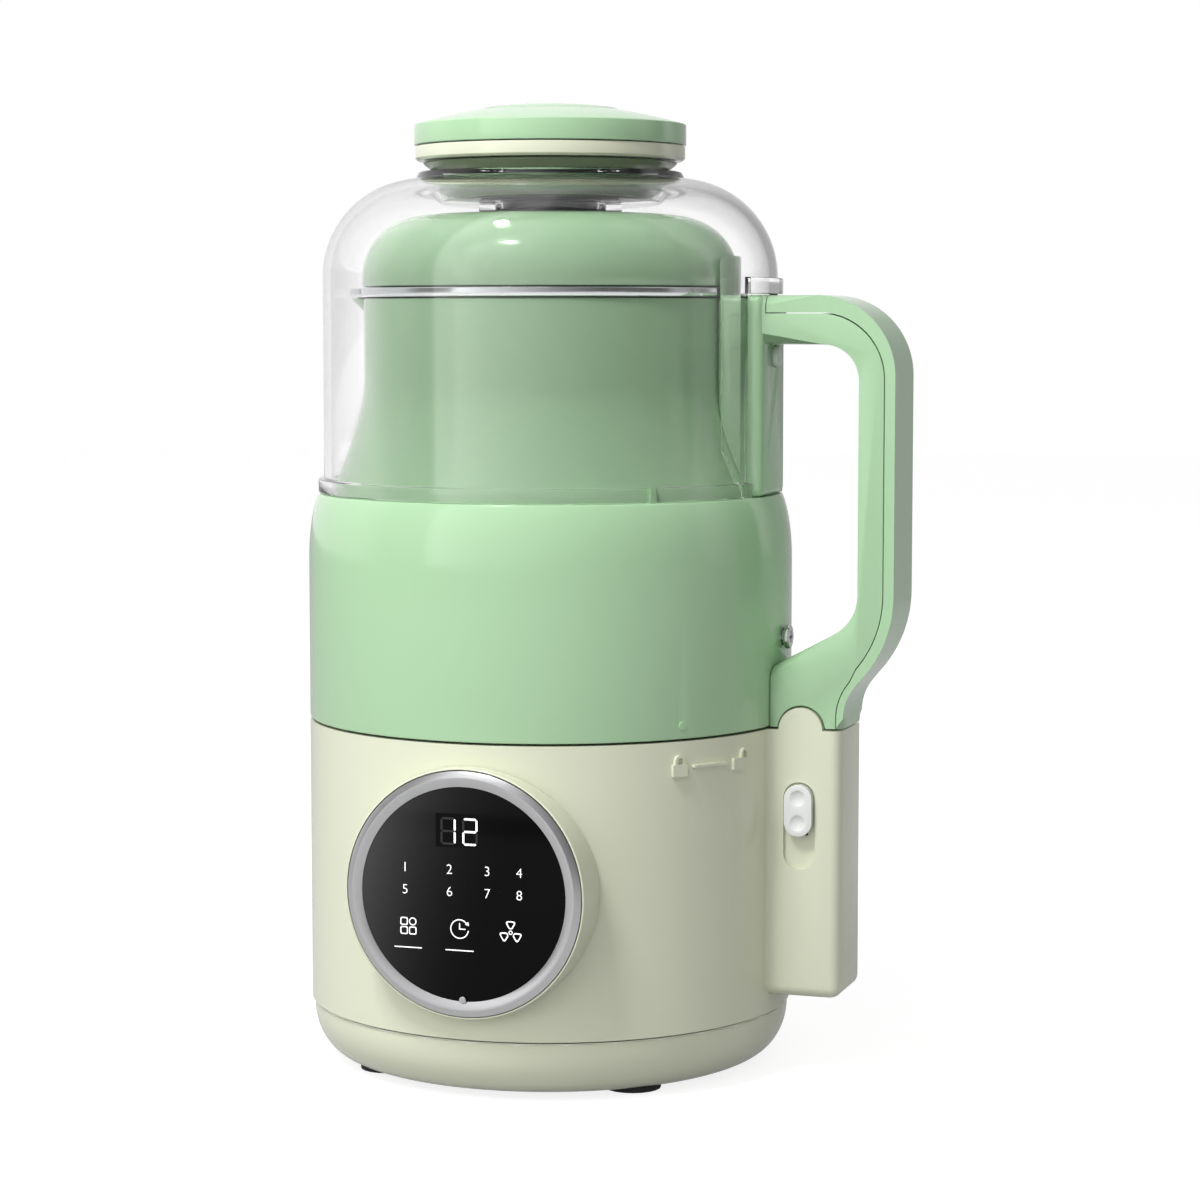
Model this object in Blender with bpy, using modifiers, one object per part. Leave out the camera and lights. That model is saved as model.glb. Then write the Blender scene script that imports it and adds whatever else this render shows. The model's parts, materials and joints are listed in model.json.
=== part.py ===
"""Soy milk maker: a heated blending jug with a clear cover on a motor base.

Metres, +Z up. The origin is on the table, under the middle of the round body.
The control panel faces -Y, the handle points to +X and the spout to -X.
"""

import math

import bmesh
import bpy
from mathutils import Matrix, Vector

# Driving dimensions of the whole body
BODY_RADIUS = 0.0700
GAP = 0.0003
OVERRUN = 0.0020
SEAM = 0.0006

# Heights above the table
PAN_Z = 0.0016
PAN_TOP_Z = 0.0173
BASE_TOP_Z = 0.0992
LEDGE_Z = 0.1643
NECK_TOP_Z = 0.2200
LID_HEIGHT = 0.0240
COVER_HEADROOM = 0.0101
KNOB_LIFT = 0.0095

# How many flats make a round
LARGE_SIDES = 32
MEDIUM_SIDES = 20
SMALL_SIDES = 12
ARC_STEPS = 4
FINE_ARC_STEPS = 7

# Base housing
BASE_WALL = 0.0026
COLUMN_LENGTH = 0.0200
COLUMN_HALF_WIDTH = 0.0125
COLUMN_FOOT_Z = 0.0230
COLUMN_EDGE_RADIUS = 0.0030
TAB_INSET = 0.0117
TAB_RADIUS = 0.0063
TAB_DEPTH = 0.0025
TAB_CLEARANCE = 0.0006

# Bottom pan and feet
PAN_INSET = 0.0008
PAN_WALL = 0.0022
PAN_CORNER_WIDTH = 0.0108
PAN_CORNER_HEIGHT = 0.0142
VENT_COUNT = 6
VENT_LENGTH = 0.0140
VENT_WIDTH = 0.0030
VENT_CIRCLE = 0.0240
FOOT_RADIUS = 0.0080
FOOT_INSET = 0.0180
FOOT_HEIGHT = 0.0045
FOOT_ANGLES = (45, 135, 225, 315)

# Deck under the jug
DECK_DROP = 0.0006
DECK_THICKNESS = 0.0024
WELL_INSET = 0.0068
WELL_DEPTH = 0.0100
HUB_RADIUS = 0.0165
HUB_COLLAR = 0.0020
HUB_COLLAR_HEIGHT = 0.0020
HUB_SKIRT_WALL = 0.0026
HUB_SKIRT_DROP = 0.0054
HUB_CAP = 0.0024
POST_RADIUS = 0.0035
POST_CIRCLE = 0.0230
POST_COUNT = 4

# Ring that locks the jug to the base
LOCK_RING_WIDTH = 0.0127
LOCK_RING_CLEARANCE = 0.0006
LOCK_RING_HEIGHT = 0.0050
LUG_COUNT = 3
LUG_REACH = 0.0070
LUG_WIDTH = 0.0110
LUG_HEIGHT = 0.0030
LUG_CLEARANCE = 0.0005

# Control panel
PANEL_Z = 0.0590
PANEL_X = 0.0006
PANEL_PROUD = 0.0045
HOUSING_RADIUS = 0.0345
GLASS_SEAT_WIDTH = 0.0015
HOUSING_EDGE_RADIUS = 0.0006
RING_INSET = 0.0011
RING_WIDTH = 0.0040
RING_PROUD = 0.0010
RING_SEAT = 0.0020
GLASS_RECESS = 0.0008
BOARD_THICKNESS = 0.0016
BOARD_SETBACK = 0.0040
BOARD_CLEARANCE = 0.0009
HOUSING_DEPTH = 0.0120
DISPLAY_WIDTH = 0.0150
DISPLAY_HEIGHT = 0.0100
DISPLAY_RISE = 0.0170

# Slide button on the column
BUTTON_INSET = 0.0119
BUTTON_Z = 0.0766
BUTTON_WIDTH = 0.0080
BUTTON_LENGTH = 0.0146
BUTTON_PROUD = 0.0018
BUTTON_TRAVEL = 0.0090
BUTTON_CLEARANCE = 0.0006
BUTTON_STEM_WIDTH = 0.0036
BUTTON_STEM_LENGTH = 0.0036
BUTTON_STEM_RISE = 0.0041
BUTTON_STEM_DEPTH = 0.0042
BUTTON_CLIP = 0.0012
BUTTON_SEAT_DEPTH = 0.0012
SWITCH_WIDTH = 0.0070
SWITCH_HEIGHT = 0.0240

# Electrical contacts between the column and the handle
CONTACT_COUNT = 3
CONTACT_PITCH = 0.0036
CONTACT_RADIUS = 0.0011
CONTACT_BLOCK_LENGTH = 0.0110
CONTACT_BLOCK_WIDTH = 0.0110
CONTACT_BLOCK_HEIGHT = 0.0080
CONTACT_INSET = 0.0110
CONTACT_PLATE_THICKNESS = 0.0016

# Power inlet and power board at the back
INLET_Z = 0.0310
INLET_HALF_WIDTH = 0.0138
INLET_HALF_HEIGHT = 0.0100
INLET_LENGTH = 0.0175
INLET_FLANGE = 0.0022
INLET_PROUD = 0.0016
INLET_RECESS_DEPTH = 0.0140
INLET_WALL = 0.0022
INLET_PIN_WIDTH = 0.0020
INLET_PIN_HEIGHT = 0.0040
INLET_PIN_LENGTH = 0.0110
INLET_PIN_PITCH = 0.0070
INLET_PIN_RISE = 0.0020
POWER_BOARD_INSET = 0.0290
POWER_BOARD_HALF_WIDTH = 0.0290
POWER_BOARD_FOOT_Z = 0.0070
POWER_BOARD_HEIGHT = 0.0560
RELAY_SIZE = (0.0150, 0.0110, 0.0150)
RELAY_X = -0.0170
RELAY_Z = 0.0540
CAPACITOR_RADIUS = 0.0050
CAPACITOR_LENGTH = 0.0130
CAPACITOR_X = 0.0150
BOARD_POST_WIDTH = 0.0060
BOARD_POST_DEPTH = 0.0050
BOARD_POST_HEIGHT = 0.0090

# Motor
FAN_Z = 0.0070
LOWER_CUP_Z = 0.0155
COMMUTATOR_Z = 0.0240
UPPER_PLATE_Z = 0.0715
SHAFT_RADIUS = 0.0040
FAN_RADIUS = 0.0270
FAN_HUB_RADIUS = 0.0075
FAN_BLADE_HEIGHT = 0.0048
FAN_BLADE_COUNT = 8
FAN_BLADE_THICKNESS = 0.0014
FAN_DISC_THICKNESS = 0.0014
BEARING_RADIUS = 0.0110
BEARING_HEIGHT = 0.0055
BEARING_CUP_WALL = 0.0018
BEARING_CUP_FLOOR = 0.0012
BEARING_CUP_HOLE = 0.0065
BRACKET_RADIUS = 0.0310
BRACKET_THICKNESS = 0.0022
BRACKET_TUBE_RADIUS = 0.0036
BRACKET_TUBE_CIRCLE = 0.0266
CORE_Z = 0.0422
CORE_HEIGHT = 0.0200
CORE_HALF_LENGTH = 0.0370
CORE_HALF_WIDTH = 0.0306
CORE_CORNER_RADIUS = 0.0425
POLE_HALF_WIDTH = 0.0155
POLE_DEPTH = 0.0082
COIL_THICKNESS = 0.0062
COIL_WIDTH = 0.0066
ARMATURE_RADIUS = 0.0185
AIR_GAP = 0.0006
WINDING_RADIUS = 0.0160
WINDING_HEIGHT = 0.0055
COMMUTATOR_RADIUS = 0.0105
COMMUTATOR_HEIGHT = 0.0110
BRUSH_WIDTH = 0.0050
BRUSH_HEIGHT = 0.0044
BRUSH_LENGTH = 0.0110
BRUSH_HOLDER_WALL = 0.0014
ROTOR_SLOT_COUNT = 10
ROTOR_SLOT_WIDTH = 0.0022
ROTOR_SLOT_DEPTH = 0.0040

# Couplings that carry the drive into the jug
COUPLING_RADIUS = 0.0145
COUPLING_DISC = 0.0040
COUPLING_CORE_RADIUS = 0.0062
COUPLING_DOG_HEIGHT = 0.0065
COUPLING_DOG_WIDTH = 0.0040
COUPLING_DOG_COUNT = 3
COUPLING_MESH = 0.0050
COUPLING_CLEARANCE = 0.0010
DRIVEN_DOG_ANGLE = 60

# Jug jacket, steel cup and jug base
JACKET_WALL = 0.0026
NECK_INSET = 0.0162
FLARE_TOP_Z = 0.1955
FLARE_FOOT_Z = 0.1660
FLARE_INSET = 0.0073
FLARE_POWER = 1.5
FLARE_STEPS = 6
SHOULDER_WIDTH = 0.0060
SHOULDER_HEIGHT = 0.0225
SHOULDER_FOOT_Z = 0.1450
SHOULDER_INNER_HEIGHT = 0.0170
SHOULDER_INNER_END = 45
CUP_INSET = 0.0080
CUP_WALL = 0.0009
CUP_FLOOR_Z = 0.1180
CUP_CORNER_RADIUS = 0.0100
CUP_CLEARANCE = 0.0005
CUP_SHOULDER_Z = 0.1610
RIM_OVERHANG = 0.0007
RIM_HEIGHT = 0.0027
SPOUT_PROUD = 0.0080
SPOUT_RADIUS = 0.0128
SPOUT_HEIGHT = 0.0090
SPOUT_FOOT_RADIUS = 0.0040
SPOUT_WALL = 0.0012
JUG_BASE_THICKNESS = 0.0034
JUG_BASE_CLEARANCE = 0.0006
SPIGOT_INSET = 0.0142
SPIGOT_WALL = 0.0030
SPIGOT_DEPTH = 0.0084
DOT_RADIUS = 0.0013
DOT_PROUD = 0.0008
DOT_RISE = 0.0036
DOT_ANGLE = -40.0
KEY_ANGLE = -45.5
KEY_WIDTH = 0.0016
KEY_PROUD = 0.0003
KEY_HEIGHT = 0.0056

# Heater, sensor and blade bearing
HEATER_INNER_RADIUS = 0.0200
HEATER_RADIUS = 0.0500
HEATER_THICKNESS = 0.0035
HEATER_TUBE_RADIUS = 0.0038
HEATER_TUBE_CIRCLE = 0.0360
SENSOR_RADIUS = 0.0035
SENSOR_HEIGHT = 0.0060
SENSOR_CIRCLE = 0.0262
SENSOR_ANGLE = 60
BEARING_BODY_RADIUS = 0.0110
BEARING_FLANGE_RADIUS = 0.0165
BEARING_FLANGE_THICKNESS = 0.0026
BEARING_BOSS_RADIUS = 0.0085
BEARING_BOSS_HEIGHT = 0.0090
BEARING_BODY_DROP = 0.0120
BEARING_BOSS_TAPER = 0.0015
SHAFT_HOLE_CLEARANCE = 0.0015
NUT_RADIUS = 0.0160
NUT_HEIGHT = 0.0044
NUT_SIDES = 6

# Blades
BLADE_SHAFT_RADIUS = 0.0030
SEAL_RADIUS = 0.0070
SEAL_HEIGHT = 0.0020
BLADE_REACH = 0.0250
BLADE_WIDTH = 0.0080
BLADE_THICKNESS = 0.0014
BLADE_HUB_RADIUS = 0.0066
BLADE_HUB_HEIGHT = 0.0030
BLADE_TILTS = (24, -14, 24, -14)
BLADE_SWEEP_SHARE = 0.45
BLADE_TIP_SHARE = 0.20
BLADE_NUT_RADIUS = 0.0052
BLADE_NUT_HEIGHT = 0.0040

# Handle
HANDLE_OVERHANG = 0.0145
HANDLE_ROOT_INSET = 0.0140
HANDLE_THICKNESS = 0.0103
HANDLE_HALF_WIDTH = 0.0115
HANDLE_EDGE_RADIUS = 0.0032
ARM_TOP_Z = 0.2208
ARM_HEIGHT = 0.0137
OUTER_CORNER_RADIUS = 0.0225
INNER_CORNER_RADIUS = 0.0100
GRIP_FOOT_Z = 0.1375
ELBOW_RADIUS = 0.0350
ELBOW_ANGLE = 40.0
FOOT_BEND_RADIUS = 0.0140
WEB_CORNER_RADIUS = 0.0125
WEB_ANGLE = 28.0
PILLAR_INSET = 0.0032
PILLAR_HALF_WIDTH = 0.0125
PILLAR_EDGE_RADIUS = 0.0025
BLOCK_PROUD = 0.0062
BLOCK_GAP = 0.0012
BLOCK_TOP_Z = 0.2320
GRIP_COVER_SETBACK = 0.0008
GRIP_COVER_DROP = 0.0048
GRIP_COVER_THICKNESS = 0.0029
GRIP_FOOT_THICKNESS = 0.0019
GRIP_SEAM_RADIUS = 0.0185
HANDLE_SCREW_RADIUS = 0.0022
HANDLE_SCREW_HEAD_RADIUS = 0.0034
HANDLE_SCREW_Z = 0.1242
HANDLE_SCREW_LENGTH = 0.0080
HANDLE_SCREW_HEAD = 0.0016
PLUG_Y = 0.0015
PLUG_Z = 0.2037
PLUG_RADIUS = 0.0030
PLUG_DEPTH = 0.0025
PLUG_PROUD = 0.0014

# Clear sound cover
COVER_INSET = 0.0045
COVER_WALL = 0.0022
COVER_CORNER_RADIUS = 0.0280
COVER_RING_PROUD = 0.0016
COVER_RING_HEIGHT = 0.0039
SLOT_HALF_WIDTH = 0.0160
SLOT_RIB = 0.0015
SLOT_RIB_LAP = 0.0002
SLOT_RIB_INSET = 0.0018
SLOT_TOP_Z = 0.2212
SLOT_LIP_HEIGHT = 0.0046
COLLAR_INSET = 0.0003
COLLAR_WIDTH = 0.0040
COLLAR_HEIGHT = 0.0019
COLLAR_BEVEL = 0.0010
COVER_WELL_CLEARANCE = 0.0034
COVER_WELL_DROP = 0.0041
COVER_WELL_THICKNESS = 0.0014
COVER_WELL_WALL = 0.0018
COVER_TUBE_WALL = 0.0020
COVER_TUBE_DROP = 0.0026
COVER_LUG_REACH = 0.0206
COVER_LUG_HEIGHT = 0.0023
COVER_LUG_WIDTH = 0.0080
COVER_LUG_ANGLE = 20
COVER_INNER_END = 85

# Knob on the cover
KNOB_INSET = 0.0264
KNOB_BAND_HEIGHT = 0.0059
KNOB_DOME_HEIGHT = 0.0061
KNOB_WALL = 0.0024
KNOB_DISC_RADIUS = 0.0190
KNOB_DISC_HEIGHT = 0.0004
KNOB_DISC_EDGE = 0.0014
KNOB_RING_INSET = 0.0003
KNOB_RING_HEIGHT = 0.0041
KNOB_RING_WIDTH = 0.0050
BOWL_TOP_INSET = 0.0016
BOWL_BEND_INSET = 0.0035
BOWL_BEND_DROP = 0.0027
BOWL_FLOOR_INSET = 0.0071
BOWL_WALL = 0.0018
BOWL_HOLE_RADIUS = 0.0120

# Inner lid and steam valve
LID_OVERHANG = 0.0004
LID_CORNER_RADIUS = 0.0180
LID_WALL = 0.0020
LID_SKIRT_DROP = 0.0080
LID_SKIRT_CLEARANCE = 0.0012
LID_SKIRT_WALL = 0.0028
LID_HOLE_RADIUS = 0.0143
GASKET_HEIGHT = 0.0036
GASKET_DROP = 0.0030
GASKET_GROOVE = 0.0012
VALVE_RADIUS = 0.0138
VALVE_CLEARANCE = 0.0006
VALVE_WALL = 0.0024
VALVE_RISE = 0.0057
VALVE_FLANGE_RADIUS = 0.0201
VALVE_FLANGE_THICKNESS = 0.0011
VALVE_DROP = 0.0060

# Places across the body that follow from its radius
COLUMN_REACH = BODY_RADIUS + COLUMN_LENGTH
TAB_X = COLUMN_REACH - TAB_INSET
BUTTON_X = COLUMN_REACH - BUTTON_INSET
CONTACT_X = COLUMN_REACH - CONTACT_INSET
WELL_RADIUS = BODY_RADIUS - WELL_INSET
SPIGOT_RADIUS = WELL_RADIUS - SPIGOT_INSET
FOOT_CIRCLE = BODY_RADIUS - FOOT_INSET
PANEL_FACE = BODY_RADIUS + PANEL_PROUD
HOUSING_BACK = BODY_RADIUS - HOUSING_DEPTH
NECK_RADIUS = BODY_RADIUS - NECK_INSET
FLARE_RADIUS = BODY_RADIUS - FLARE_INSET
CUP_RADIUS = BODY_RADIUS - CUP_INSET
RIM_RADIUS = NECK_RADIUS + RIM_OVERHANG
SPOUT_REACH = NECK_RADIUS + SPOUT_PROUD
COVER_RADIUS = BODY_RADIUS - COVER_INSET
COVER_RING_RADIUS = COVER_RADIUS + COVER_RING_PROUD
LID_RADIUS = NECK_RADIUS + LID_OVERHANG
RING_RADIUS = HOUSING_RADIUS - RING_INSET
RING_INNER_RADIUS = RING_RADIUS - RING_WIDTH
HOUSING_BORE = RING_INNER_RADIUS - GLASS_SEAT_WIDTH
KNOB_RADIUS = COVER_RADIUS - KNOB_INSET
COLLAR_RADIUS = KNOB_RADIUS - COLLAR_INSET
KNOB_RING_RADIUS = KNOB_RADIUS - KNOB_RING_INSET
BOWL_TOP_RADIUS = KNOB_RING_RADIUS - BOWL_TOP_INSET
BOWL_BEND_RADIUS = BOWL_TOP_RADIUS - BOWL_BEND_INSET
BOWL_FLOOR_RADIUS = BOWL_BEND_RADIUS - BOWL_FLOOR_INSET
COVER_WELL_RADIUS = BOWL_FLOOR_RADIUS + COVER_WELL_CLEARANCE
HANDLE_REACH = COLUMN_REACH + HANDLE_OVERHANG
FOOT_REACH = COLUMN_REACH + GAP
HANDLE_ROOT = BODY_RADIUS - HANDLE_ROOT_INSET
PILLAR_REACH = BODY_RADIUS - PILLAR_INSET
BLOCK_REACH = NECK_RADIUS + BLOCK_PROUD
BLOCK_START = NECK_RADIUS + BLOCK_GAP
SLOT_RIB_START = NECK_RADIUS + SLOT_RIB_INSET
POWER_BOARD_Y = BODY_RADIUS - POWER_BOARD_INSET
GRIP_COVER_START = PILLAR_REACH + GRIP_COVER_SETBACK

# Heights that follow from the ones above
SHELL_FOOT_Z = PAN_TOP_Z + SEAM
WELL_FLOOR_Z = BASE_TOP_Z - DECK_DROP - WELL_DEPTH
DECK_UNDERSIDE_Z = WELL_FLOOR_Z - DECK_THICKNESS
JUG_FOOT_Z = BASE_TOP_Z + SEAM
CUP_UNDERSIDE_Z = CUP_FLOOR_Z - CUP_WALL
RIM_TOP_Z = NECK_TOP_Z + GAP + RIM_HEIGHT
LID_TOP_Z = NECK_TOP_Z + LID_HEIGHT
VALVE_TOP_Z = LID_TOP_Z + VALVE_RISE
COVER_TOP_Z = LID_TOP_Z + COVER_HEADROOM
COVER_WELL_FLOOR_Z = COVER_TOP_Z - COVER_WELL_DROP
KNOB_BAND_Z = COVER_TOP_Z + KNOB_LIFT
KNOB_TOP_Z = KNOB_BAND_Z + KNOB_BAND_HEIGHT + KNOB_DOME_HEIGHT

PART_NAME = "soy_milk_maker"


def clear_scene():
    for item in list(bpy.data.objects):
        bpy.data.objects.remove(item, do_unlink=True)


def new_collection(name):
    collection = bpy.data.collections.new(name)
    bpy.context.scene.collection.children.link(collection)
    return collection


def new_material(name, color, roughness, metallic=0.0, transmission=0.0):
    material = bpy.data.materials.new(name)
    material.use_nodes = True
    shader = material.node_tree.nodes["Principled BSDF"]
    shader.inputs["Base Color"].default_value = (*color, 1.0)
    shader.inputs["Roughness"].default_value = roughness
    shader.inputs["Metallic"].default_value = metallic
    shader.inputs["Transmission Weight"].default_value = transmission
    material.diffuse_color = (*color, 1.0)
    return material


def link(item, collection):
    for owner in list(item.users_collection):
        owner.objects.unlink(item)
    collection.objects.link(item)


def finish_part(item, name, material):
    """Name a finished piece, give it its material and put it with the parts."""
    item.name = name
    item.data.name = name
    item.data.materials.clear()
    item.data.materials.append(material)
    link(item, PARTS)
    return item


def guide(item, name):
    """Put a cutter or a guide shape away from the parts."""
    item.name = name
    item.hide_render = True
    item.display_type = "WIRE"
    link(item, CUTTERS)
    return item


def arc(center, radii, start, end, steps=ARC_STEPS):
    """Points of an elliptic arc, from start to end in degrees."""
    points = []
    for index in range(steps + 1):
        angle = math.radians(start + (end - start) * index / steps)
        across = center[0] + radii[0] * math.cos(angle)
        up = center[1] + radii[1] * math.sin(angle)
        points.append((across, up))
    return points


def turned(profile, sides=LARGE_SIDES, ring=True):
    """A turned solid. The profile runs down its outer side, top to bottom.

    A ring's profile closes on itself. Any other profile starts and ends on the axis.
    """
    mesh = bpy.data.meshes.new("profile")
    vertices = [(radius, 0.0, height) for radius, height in profile]
    edges = [(index, index + 1) for index in range(len(profile) - 1)]
    if ring:
        edges.append((len(profile) - 1, 0))
    mesh.from_pydata(vertices, edges, [])
    item = bpy.data.objects.new("turned", mesh)
    bpy.context.scene.collection.objects.link(item)
    screw = item.modifiers.new("Screw", "SCREW")
    screw.axis = "Z"
    screw.angle = math.tau
    screw.steps = sides
    screw.render_steps = sides
    screw.use_merge_vertices = True
    screw.merge_threshold = 0.00001
    screw.use_smooth_shade = True
    return item


def box(size, center, edge_radius=0.0, edge_steps=2):
    """A box with its own size, its centre and an optional rounding of its edges."""
    bpy.ops.mesh.primitive_cube_add(size=1.0, location=center)
    item = bpy.context.object
    item.scale = size
    bpy.ops.object.transform_apply(location=False, rotation=False, scale=True)
    if edge_radius:
        bevel = item.modifiers.new("Bevel", "BEVEL")
        bevel.width = edge_radius
        bevel.segments = edge_steps
        bevel.limit_method = "ANGLE"
    return item


def span(low, high, edge_radius=0.0):
    """A box between two opposite corners."""
    size = [upper - lower for lower, upper in zip(low, high)]
    center = [(upper + lower) / 2 for lower, upper in zip(low, high)]
    return box(size, center, edge_radius)


def rod(radius, start, end, sides=MEDIUM_SIDES):
    """A cylinder between two points."""
    start = Vector(start)
    end = Vector(end)
    along = end - start
    bpy.ops.mesh.primitive_cylinder_add(
        vertices=sides, radius=radius, depth=along.length, location=(start + end) / 2)
    item = bpy.context.object
    item.rotation_euler = along.to_track_quat("Z", "Y").to_euler()
    return item


def cone(foot_radius, top_radius, foot, height, sides=MEDIUM_SIDES):
    """An upright cone frustum standing on a point."""
    middle = (foot[0], foot[1], foot[2] + height / 2)
    bpy.ops.mesh.primitive_cone_add(
        vertices=sides, radius1=foot_radius, radius2=top_radius, depth=height, location=middle)
    return bpy.context.object


def extruded(outline, half_width, edge_radius=0.0, edge_steps=2):
    """A flat outline in the XZ plane, given thickness to both sides along Y."""
    curve = bpy.data.curves.new("outline", "CURVE")
    curve.dimensions = "2D"
    curve.fill_mode = "BOTH"
    curve.extrude = half_width
    spline = curve.splines.new("POLY")
    spline.points.add(len(outline) - 1)
    for point, (across, up) in zip(spline.points, outline):
        point.co = (across, up, 0.0, 1.0)
    spline.use_cyclic_u = True
    flat = bpy.data.objects.new("outline", curve)
    bpy.context.scene.collection.objects.link(flat)
    flat.rotation_euler = (math.radians(90), 0.0, 0.0)
    return solid_from_curve(flat, edge_radius, edge_steps)


def solid_from_curve(flat, edge_radius=0.0, edge_steps=2):
    """Turn a curve object into a closed mesh object in the same place."""
    bpy.context.view_layer.update()
    graph = bpy.context.evaluated_depsgraph_get()
    mesh = bpy.data.meshes.new_from_object(flat.evaluated_get(graph))
    work = bmesh.new()
    work.from_mesh(mesh)
    bmesh.ops.remove_doubles(work, verts=work.verts, dist=0.00001)
    bmesh.ops.dissolve_limit(
        work, angle_limit=math.radians(1), verts=work.verts, edges=work.edges)
    bmesh.ops.recalc_face_normals(work, faces=work.faces)
    work.to_mesh(mesh)
    work.free()
    item = bpy.data.objects.new("extruded", mesh)
    item.matrix_world = flat.matrix_world.copy()
    bpy.context.scene.collection.objects.link(item)
    bpy.data.objects.remove(flat, do_unlink=True)
    if edge_radius:
        bevel = item.modifiers.new("Bevel", "BEVEL")
        bevel.width = edge_radius
        bevel.segments = edge_steps
        bevel.limit_method = "ANGLE"
        bevel.angle_limit = math.radians(50)
    return item


def boolean(item, tool, operation):
    modifier = item.modifiers.new(operation.title(), "BOOLEAN")
    modifier.operation = operation
    modifier.solver = "EXACT"
    modifier.object = tool
    return item


def cut(item, tool, name="cutter"):
    return boolean(item, guide(tool, name), "DIFFERENCE")


def join(item, tool, name="joined"):
    return boolean(item, guide(tool, name), "UNION")


def keep(item, tool, name="kept"):
    return boolean(item, guide(tool, name), "INTERSECT")


def around(count, start=0.0):
    """Angles that share a circle evenly, in radians."""
    return [math.radians(start) + math.tau * index / count for index in range(count)]


def polar(radius, angle, height):
    return Vector((radius * math.cos(angle), radius * math.sin(angle), height))


def turn_about_axis(item, angle):
    """Turn an item that was made at +X to its own angle about the main axis."""
    item.matrix_world = Matrix.Rotation(angle, 4, "Z") @ item.matrix_basis
    return item


def from_panel(item):
    """Lay a turned item on its side, so that its top faces the user."""
    item.location = (PANEL_X, 0.0, PANEL_Z)
    item.rotation_euler = (math.radians(90), 0.0, 0.0)
    return item


def capsule(width, top, bottom, center_x, low_y, high_y, edge_radius=0.0):
    """An upright slab with round ends, between two depths."""
    radius = width / 2
    outline = arc((center_x, top - radius), (radius, radius), 0, 180, FINE_ARC_STEPS)
    outline += arc((center_x, bottom + radius), (radius, radius), 180, 360, FINE_ARC_STEPS)
    item = extruded(outline, (high_y - low_y) / 2, edge_radius)
    item.location.y = (high_y + low_y) / 2
    return item


def make_base_shell(material):
    inner = BODY_RADIUS - BASE_WALL
    high = BASE_TOP_Z + COLUMN_EDGE_RADIUS + OVERRUN
    inside = COLUMN_HALF_WIDTH - BASE_WALL
    front = -COLUMN_HALF_WIDTH
    shell = rod(BODY_RADIUS, (0, 0, SHELL_FOOT_Z), (0, 0, high), LARGE_SIDES)
    join(shell, span((0, front, COLUMN_FOOT_Z), (COLUMN_REACH, -front, high), COLUMN_EDGE_RADIUS))
    cut(shell, span((-BODY_RADIUS - OVERRUN, -BODY_RADIUS - OVERRUN, BASE_TOP_Z),
                    (COLUMN_REACH + OVERRUN, BODY_RADIUS + OVERRUN, high + OVERRUN)))
    cut(shell, rod(inner, (0, 0, SHELL_FOOT_Z - OVERRUN), (0, 0, BASE_TOP_Z + OVERRUN), LARGE_SIDES))
    cut(shell, span((inner / 2, -inside, COLUMN_FOOT_Z + BASE_WALL),
                    (COLUMN_REACH - BASE_WALL, inside, BASE_TOP_Z - BASE_WALL)))
    join(shell, rod(TAB_RADIUS, (TAB_X, front, BASE_TOP_Z), (TAB_X, front + TAB_DEPTH, BASE_TOP_Z)))
    top = BUTTON_Z + BUTTON_LENGTH / 2 + BUTTON_CLEARANCE
    bottom = BUTTON_Z - BUTTON_LENGTH / 2 - BUTTON_TRAVEL - BUTTON_CLEARANCE
    cut(shell, capsule(BUTTON_WIDTH + 2 * BUTTON_CLEARANCE, top, bottom, BUTTON_X,
                       front - OVERRUN, front + BUTTON_SEAT_DEPTH))
    slot = BUTTON_STEM_WIDTH / 2 + BUTTON_CLEARANCE
    stem_z = BUTTON_Z + BUTTON_STEM_RISE
    slot_foot = stem_z - BUTTON_STEM_LENGTH / 2 - BUTTON_TRAVEL - BUTTON_CLEARANCE
    slot_top = stem_z + BUTTON_STEM_LENGTH / 2 + BUTTON_CLEARANCE
    cut(shell, span((BUTTON_X - slot, front - OVERRUN, slot_foot),
                    (BUTTON_X + slot, front + BASE_WALL + OVERRUN, slot_top)))
    cut(shell, rod(HOUSING_BORE, (PANEL_X, -BODY_RADIUS - OVERRUN, PANEL_Z), (PANEL_X, 0, PANEL_Z)))
    half = INLET_HALF_WIDTH + GAP
    cut(shell, span((-half, 0, INLET_Z - INLET_HALF_HEIGHT - GAP),
                    (half, BODY_RADIUS + OVERRUN, INLET_Z + INLET_HALF_HEIGHT + GAP)))
    for place in contact_places():
        cut(shell, rod(CONTACT_RADIUS + GAP, (place, 0, BASE_TOP_Z - 2 * BASE_WALL),
                       (place, 0, BASE_TOP_Z + OVERRUN), SMALL_SIDES))
    finish_part(shell, "base_shell", material)


def contact_places():
    first = CONTACT_X - CONTACT_PITCH * (CONTACT_COUNT - 1) / 2
    return [first + CONTACT_PITCH * index for index in range(CONTACT_COUNT)]


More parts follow.
